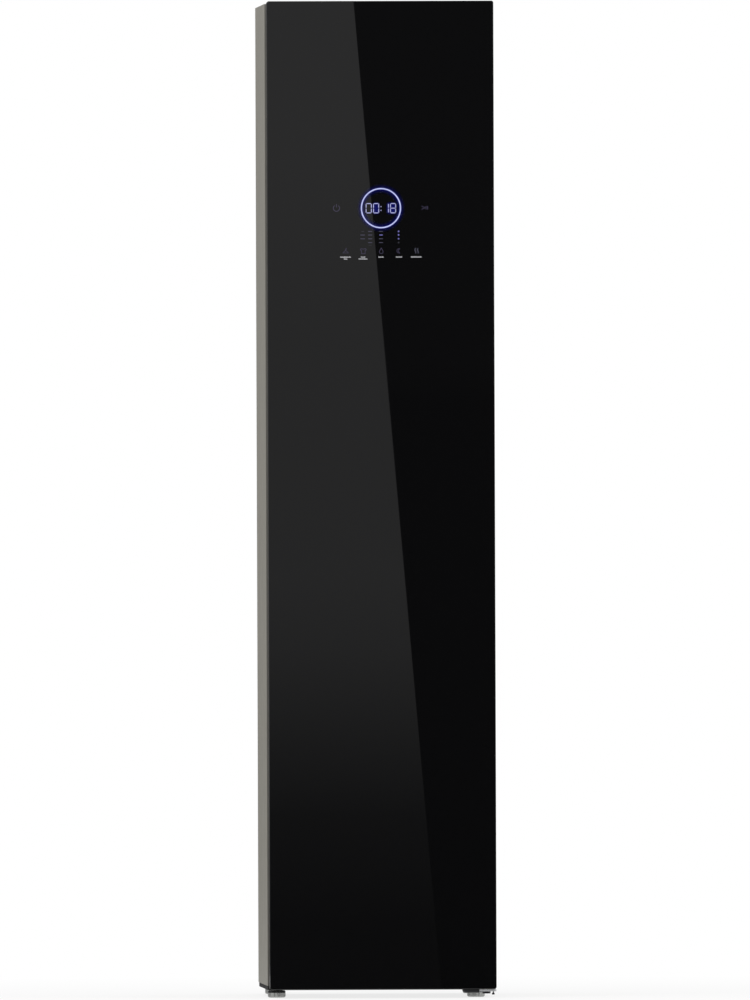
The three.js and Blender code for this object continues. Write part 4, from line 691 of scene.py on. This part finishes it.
def band(name, body, centre, material):
    """A closed ring: its sections go up the outside and down the inside."""
    low, high = BAND_HEIGHTS
    profile = [(BAND_INNER, low), (BAND_OUTER - BAND_EDGE, low), (BAND_OUTER, low + BAND_EDGE),
               (BAND_OUTER, high - BAND_EDGE), (BAND_OUTER - BAND_EDGE, high), (BAND_INNER, high)]
    rings = turned_rings(centre, profile, BAND_SIDES)
    faces = []
    for level in range(len(rings)):
        after = (level + 1) % len(rings)
        faces += ring_faces(level * BAND_SIDES, after * BAND_SIDES, BAND_SIDES)
    mesh = bpy.data.meshes.new(name)
    mesh.from_pydata([point for ring in rings for point in ring], [], faces)
    mesh.materials.append(material)
    piece = linked(name, mesh)
    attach(piece, body)


# A hinge nut under the lower hinge plate, made black as painted shade for the dark line under the
# plate
def add_hinge_nut(material):
    low, high = NUT_HEIGHTS
    profile = [(NUT_RADIUS - NUT_EDGE, low), (NUT_RADIUS, low + NUT_EDGE), (NUT_RADIUS, high)]
    rings = turned_rings(middle_of("door_bush_lower"), profile, NUT_SIDES)
    lofted("hinge_nut", rings, material, "cabinet")


def add_hinge_screw(material):
    low, middle, high = SCREW_HEIGHTS
    place = [length * MM for length in SCREW_PLACE]
    head = [(SCREW_RADIUS - SCREW_EDGE, low), (SCREW_RADIUS, low + SCREW_EDGE),
            (SCREW_RADIUS, middle)]
    stem = [(SCREW_RADIUS / 2, middle), (SCREW_RADIUS / 2, high)]
    rings = turned_rings(place, head + stem, SCREW_SIDES)
    lofted("hinge_screw", rings, material, "cabinet")


def add_floor_parts(material):
    add_stop_block(material)
    # Black bands on the feet's collars: painted shade for the dark reflection the collars show
    for corner in ("front_left", "front_right", "rear_left", "rear_right"):
        foot = f"foot_{corner}"
        band(f"foot_shade_band_{corner}", foot, middle_of(foot), material)
    add_hinge_nut(material)
    add_hinge_screw(material)


# Display: lit shapes set into the glass, drawn round the ring's centre, in millimetres

RING_CENTRE = (0.5, 1465.5)
RING_RADII = (35.1, 37.4)
LIGHT_DEPTH = 0.25
LIGHT_STAND = 0.02
WELD = 0.001
LEAST_STEP = 1e-9
LEAST_MITRE = 0.5

DIGIT_WIDTH = 11.2
DIGIT_HEIGHT = 18.8
DIGIT_STROKE = 1.5
DIGIT_GAP = 0.3
DIGIT_DROP = 0.15
SEGMENTS = {"0": "abcdef", "1": "bc", "8": "abcdefg"}
TIME_DIGITS = (("0", -22.7), ("0", -9.0), ("1", 9.1), ("8", 22.5))
COLON_PLACE = 0.1
COLON_HEIGHTS = (2.8, -4.0)
COLON_RADIUS = 0.95

# Soft blue glow: round the ring as radius and share, over two places among the digits as a share
# of the patch's half size and a share of the glow. PATCHES gives each place's middle and width
RING_GLOW = ((27, 0), (31, 0.15), (34, 0.6), (36.2, 0.9), (38.5, 0.5), (41, 0.14), (45, 0))
PATCH_GLOW = ((0.02, 0.75), (0.6, 0.75), (1.0, 0.6), (1.35, 0.25), (1.7, 0.0))
PATCH_SIDES = 24
PATCH_HEIGHT = 19
PATCH_SPREAD = 3.5
PATCHES = ((-9.0, 11), (19.5, 16))
GLOW_COLOUR = (0.004, 0.006, 0.13)

# Heights from the ring's centre: four rows of level marks, one short bar, five marks under them
LEVEL_ROWS = (-43.2, -49.8, -56.8, -63.9)
LEVEL_FOOT = -68.8
MARK_HEIGHT = -79.4
MARK_STROKE = 0.9

# Names under the marks, as rows of small uneven blocks: each row's middle, line and width
NAME_PITCH = 1.65
NAME_GAP = 0.35
NAME_FOOT = -91.9
NAME_LINE = 3.4
NAME_HEIGHTS = (2.5, 1.9, 2.3, 1.8, 2.6, 2.0)
NAME_ROWS = ((-66.0, 0, 19.4), (-66.0, 1, 7.4), (-33.6, 0, 8.0), (-33.6, 1, 16.8),
             (-0.2, 0, 9.6), (33.2, 0, 11.4), (65.2, 0, 19.4))

# Light of the lit shapes, as linear colours
DARK_PLATE = (0.01, 0.01, 0.012)
UNEVEN = 0.85
UNEVEN_SPAN = (0.35, 0.65)
LIGHTS = {
    "white": (0.56, 0.60, 1.0),
    "time": (0.46, 0.47, 0.80),
    "violet": (0.050, 0.042, 0.085),
    "grey": (0.062, 0.06, 0.10),
    "blue": (0.17, 0.16, 0.50),
    "faint": (0.022, 0.022, 0.030),
    "pale": (0.13, 0.13, 0.19),
    "label": (0.47, 0.47, 0.49),
}


def stroke(points, width, closed=False):
    """Four-sided pieces of an even line along the points, mitred at each bend."""
    count = len(points)
    sides = []
    for index in range(count):
        if closed:
            before, after = points[index - 1], points[(index + 1) % count]
        else:
            before, after = points[max(index - 1, 0)], points[min(index + 1, count - 1)]
        here = Vector(points[index])
        steps = (here - Vector(before), Vector(after) - here)
        ways = [step.normalized() for step in steps if step.length > LEAST_STEP]
        mean = sum(ways, Vector((0, 0))).normalized()
        across = Vector((-mean.y, mean.x))
        stretch = width / 2 / max(LEAST_MITRE, abs(ways[0].dot(mean)))
        sides.append((here + across * stretch, here - across * stretch))
    pairs = list(zip(sides, sides[1:] + sides[:1] if closed else sides[1:]))
    return [[a[0], b[0], b[1], a[1]] for a, b in pairs]


def bar(x, z, width, height):
    return [[(x - width / 2, z - height / 2), (x + width / 2, z - height / 2),
             (x + width / 2, z + height / 2), (x - width / 2, z + height / 2)]]


def dot(radius, x, z, sides):
    return circle(radius, (x, z), sides=sides)[:-1]


def segment(start, stop, width):
    """A bar with pointed ends, as in a seven-part digit."""
    a, b = Vector(start), Vector(stop)
    way = (b - a).normalized()
    across = Vector((-way.y, way.x)) * width / 2
    gap = way * width * DIGIT_GAP
    point = way * width / 2
    a, b = a + gap, b - gap
    return [a, a + point + across, b - point + across, b, b - point - across, a + point - across]


def digit(mark, middle):
    w = (DIGIT_WIDTH - DIGIT_STROKE) / 2
    h = (DIGIT_HEIGHT - DIGIT_STROKE) / 2
    ends = {
        "a": ((-w, h), (w, h)),
        "b": ((w, 0), (w, h)),
        "c": ((w, -h), (w, 0)),
        "d": ((-w, -h), (w, -h)),
        "e": ((-w, -h), (-w, 0)),
        "f": ((-w, 0), (-w, h)),
        "g": ((-w, 0), (w, 0)),
    }
    place = Vector((middle, -DIGIT_DROP))
    return [segment(*(Vector(end) + place for end in ends[key]), DIGIT_STROKE)
            for key in SEGMENTS[mark]]


def glow_paint(name, colour):
    """A lit plate whose light is a little uneven."""
    material, tree, shader = new_material(name, DARK_PLATE, 0.2)
    ramp = tree.nodes.new("ShaderNodeValToRGB")
    dim, lit = ramp.color_ramp.elements
    dim.position, lit.position = UNEVEN_SPAN
    dim.color = (*[c * UNEVEN for c in colour], 1)
    lit.color = (*colour, 1)
    tree.links.new(noise(tree, 90, 1), ramp.inputs[0])
    tree.links.new(ramp.outputs[0], shader.inputs["Emission Color"])
    shader.inputs["Emission Strength"].default_value = 1.0
    return material


def halo_paint():
    material, tree, shader = new_material("blue_halo", (0.002, 0.002, 0.004), 0.05)
    shader.inputs["Emission Color"].default_value = (*GLOW_COLOUR, 1)
    shader.inputs["Emission Strength"].default_value = 1.0
    share = tree.nodes.new("ShaderNodeVertexColor")
    share.layer_name = "glow"
    tree.links.new(share.outputs["Color"], shader.inputs["Alpha"])
    return material


def on_display(points, stand):
    """The display's points in metres, set back from the door's front by the stand."""
    y = glass_low[1] + stand * MM
    return [((RING_CENTRE[0] + x) * MM, y, (RING_CENTRE[1] + z) * MM) for x, z in points]


def lit_piece(name, shapes, material):
    """Thin plates set into the glass, one for each shape, welded where they share an edge."""
    mesh = bpy.data.meshes.new(name)
    shell = bmesh.new()
    for shape in shapes:
        corners = on_display(shape, LIGHT_STAND)
        shell.faces.new([shell.verts.new(corner) for corner in corners])
    bmesh.ops.remove_doubles(shell, verts=shell.verts, dist=WELD * MM)
    grown = bmesh.ops.extrude_face_region(shell, geom=list(shell.faces))
    moved = [item for item in grown["geom"] if isinstance(item, bmesh.types.BMVert)]
    bmesh.ops.translate(shell, verts=moved, vec=(0, LIGHT_DEPTH * MM, 0))
    bmesh.ops.recalc_face_normals(shell, faces=list(shell.faces))
    shell.to_mesh(mesh)
    shell.free()
    mesh.materials.append(material)
    piece = linked(name, mesh)
    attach(piece, "door")


def halo(name, patches, material):
    """A soft patch of blue light: rings of points, each with its own share of the glow."""
    mesh = bpy.data.meshes.new(name)
    points, shares, faces = [], [], []
    for patch in patches:
        count = len(patch[0][0])
        base = len(points)
        for ring, share in patch:
            points += on_display(ring, 2 * LIGHT_STAND)
            shares += [share] * count
        for level in range(len(patch) - 1):
            faces += ring_faces(base + level * count, base + (level + 1) * count, count)
    mesh.from_pydata(points, [], faces)
    layer = mesh.color_attributes.new("glow", "FLOAT_COLOR", "POINT")
    for item, share in zip(layer.data, shares):
        item.color = (share, share, share, 1)
    mesh.materials.append(material)
    piece = linked(name, mesh)
    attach(piece, "door")


def rounded_patch(x, z, width, height, spread):
    """Rings for a patch of glow that is even inside and fades out past its edge."""
    rings = []
    for grow, share in PATCH_GLOW:
        edge = max(0.0, grow - 1) * spread
        half_width = width / 2 * min(grow, 1) + edge
        half_height = height / 2 * min(grow, 1) + edge
        ring = []
        for step in range(PATCH_SIDES):
            angle = 2 * math.pi * step / PATCH_SIDES
            c, s = math.cos(angle), math.sin(angle)
            flat = (abs(c) ** 4 + abs(s) ** 4) ** 0.25
            ring.append((x + half_width * c / flat, z + half_height * s / flat))
        rings.append((ring, share))
    return rings


def add_clock(paints):
    """The ring, the time inside it and the blue glow round both."""
    mean = sum(RING_RADII) / 2
    width = RING_RADII[1] - RING_RADII[0]
    lit_piece("display_ring", stroke(circle(mean)[:-1], width, closed=True), paints["white"])
    digits = [shape for mark, middle in TIME_DIGITS for shape in digit(mark, middle)]
    colon = [dot(COLON_RADIUS, COLON_PLACE, z, 12) for z in COLON_HEIGHTS]
    lit_piece("display_digits", digits + colon, paints["time"])
    patches = [[(circle(radius)[:-1], share) for radius, share in RING_GLOW]]
    patches += [rounded_patch(x, -DIGIT_DROP, width, PATCH_HEIGHT, PATCH_SPREAD)
                for x, width in PATCHES]
    halo("display_halo", patches, halo_paint())


def add_buttons(paint):
    """The power mark left of the ring and the start mark right of it."""
    power = stroke(circle(5.8, (-82.6, 0.2), 125, 415, 32), 1.1)
    power += stroke([(-82.6, 7.8), (-82.6, 1.6)], 1.1)
    lit_piece("display_power", power, paint)
    start = stroke([(75.4, 3.8), (81.6, 0.6), (75.4, -2.6)], 1.0)
    for x in (83.6, 86.6):
        start += stroke([(x, 3.6), (x, -2.8)], 1.2)
    lit_piece("display_start", start, paint)


def add_levels(paints):
    """Level marks in four columns, some of them lit and some off."""
    rows = LEVEL_ROWS
    dim = [s for z in rows[1:3] for s in bar(-34.2, z, 8.2, 1.3)]
    dim += [s for z in rows for s in bar(-20.2, z, 7.4, 1.3)]
    dim += [s for z in (rows[0], *rows[2:]) for s in bar(-0.2, z, 7.4, 1.2)]
    lit_piece("display_levels", dim, paints["grey"])
    lit = bar(0.0, rows[1], 6.0, 1.6) + [dot(1.5, 32.6, z, 16) for z in rows[:3]]
    lit_piece("display_levels_lit", lit, paints["blue"])
    off = [dot(1.6, 32.6, rows[3], 16)] + bar(-33.8, rows[0], 5.2, 1.3)
    lit_piece("display_levels_off", off + bar(-20.2, LEVEL_FOOT, 5.6, 1.0), paints["faint"])


def add_marks(paints):
    """Five marks: garment on a hanger, shirt, drop, moon and rising steam."""
    z = MARK_HEIGHT
    hanger = [(-71.0, z - 3.6), (-65.8, z + 1.4), (-60.6, z - 3.6)]
    hook = [(-65.8, z + 1.4), (-65.8, z + 3.0), (-64.2, z + 4.2), (-65.2, z + 5.4)]
    shirt = [(-37.0, z + 4.6), (-38.6, z + 2.0), (-36.4, z + 0.8), (-36.4, z - 5.0),
             (-29.6, z - 5.0), (-29.6, z + 0.8), (-27.4, z + 2.0), (-29.0, z + 4.6), (-33, z + 3.2)]
    drop = [(0.3, z + 5.4)] + circle(3.4, (0.3, z - 1.6), 30, -210, 18)
    moon = circle(4.2, (33.6, z), 70, 290, 20) + circle(4.2, (36.4, z), 250, 110, 14)
    marks = stroke(hanger, MARK_STROKE, closed=True) + stroke(hook, MARK_STROKE)
    marks += stroke(shirt, MARK_STROKE, closed=True) + stroke(drop, MARK_STROKE, closed=True)
    lit_piece("display_marks", marks + stroke(moon, 0.8), paints["violet"])
    steam = []
    for x in (63.6, 68.2):
        rise = [(x + 1.1 * math.sin(step * 0.9), z - 4.6 + step * 1.2) for step in range(9)]
        steam += stroke(rise, MARK_STROKE)
    lit_piece("display_steam", steam, paints["pale"])


def add_names(paint):
    names = []
    for middle, line, width in NAME_ROWS:
        count = round(width / NAME_PITCH)
        for index in range(count):
            x = middle + (index - (count - 1) / 2) * NAME_PITCH
            height = NAME_HEIGHTS[index % len(NAME_HEIGHTS)]
            z = NAME_FOOT - NAME_LINE * line + height / 2
            names += bar(x, z, NAME_PITCH - NAME_GAP, height)
    lit_piece("display_names", names, paint)


def add_display():
    paints = {name: glow_paint(f"display_{name}", colour) for name, colour in LIGHTS.items()}
    add_clock(paints)
    add_buttons(paints["violet"])
    add_levels(paints)
    add_marks(paints)
    add_names(paints["label"])


set_view()
add_camera()
set_world()
add_floor()
add_cards()
for name, place, size, power in LAMPS:
    area_light(name, place, size, power)
materials = make_materials()
dress_nodes(materials)
add_pane(materials["black_glass"])
# Bars of painted shade on the side panels' front folds
add_edge_shade_bars(materials["edge_shade_paint"])
add_floor_parts(materials["black_plastic"])
add_display()
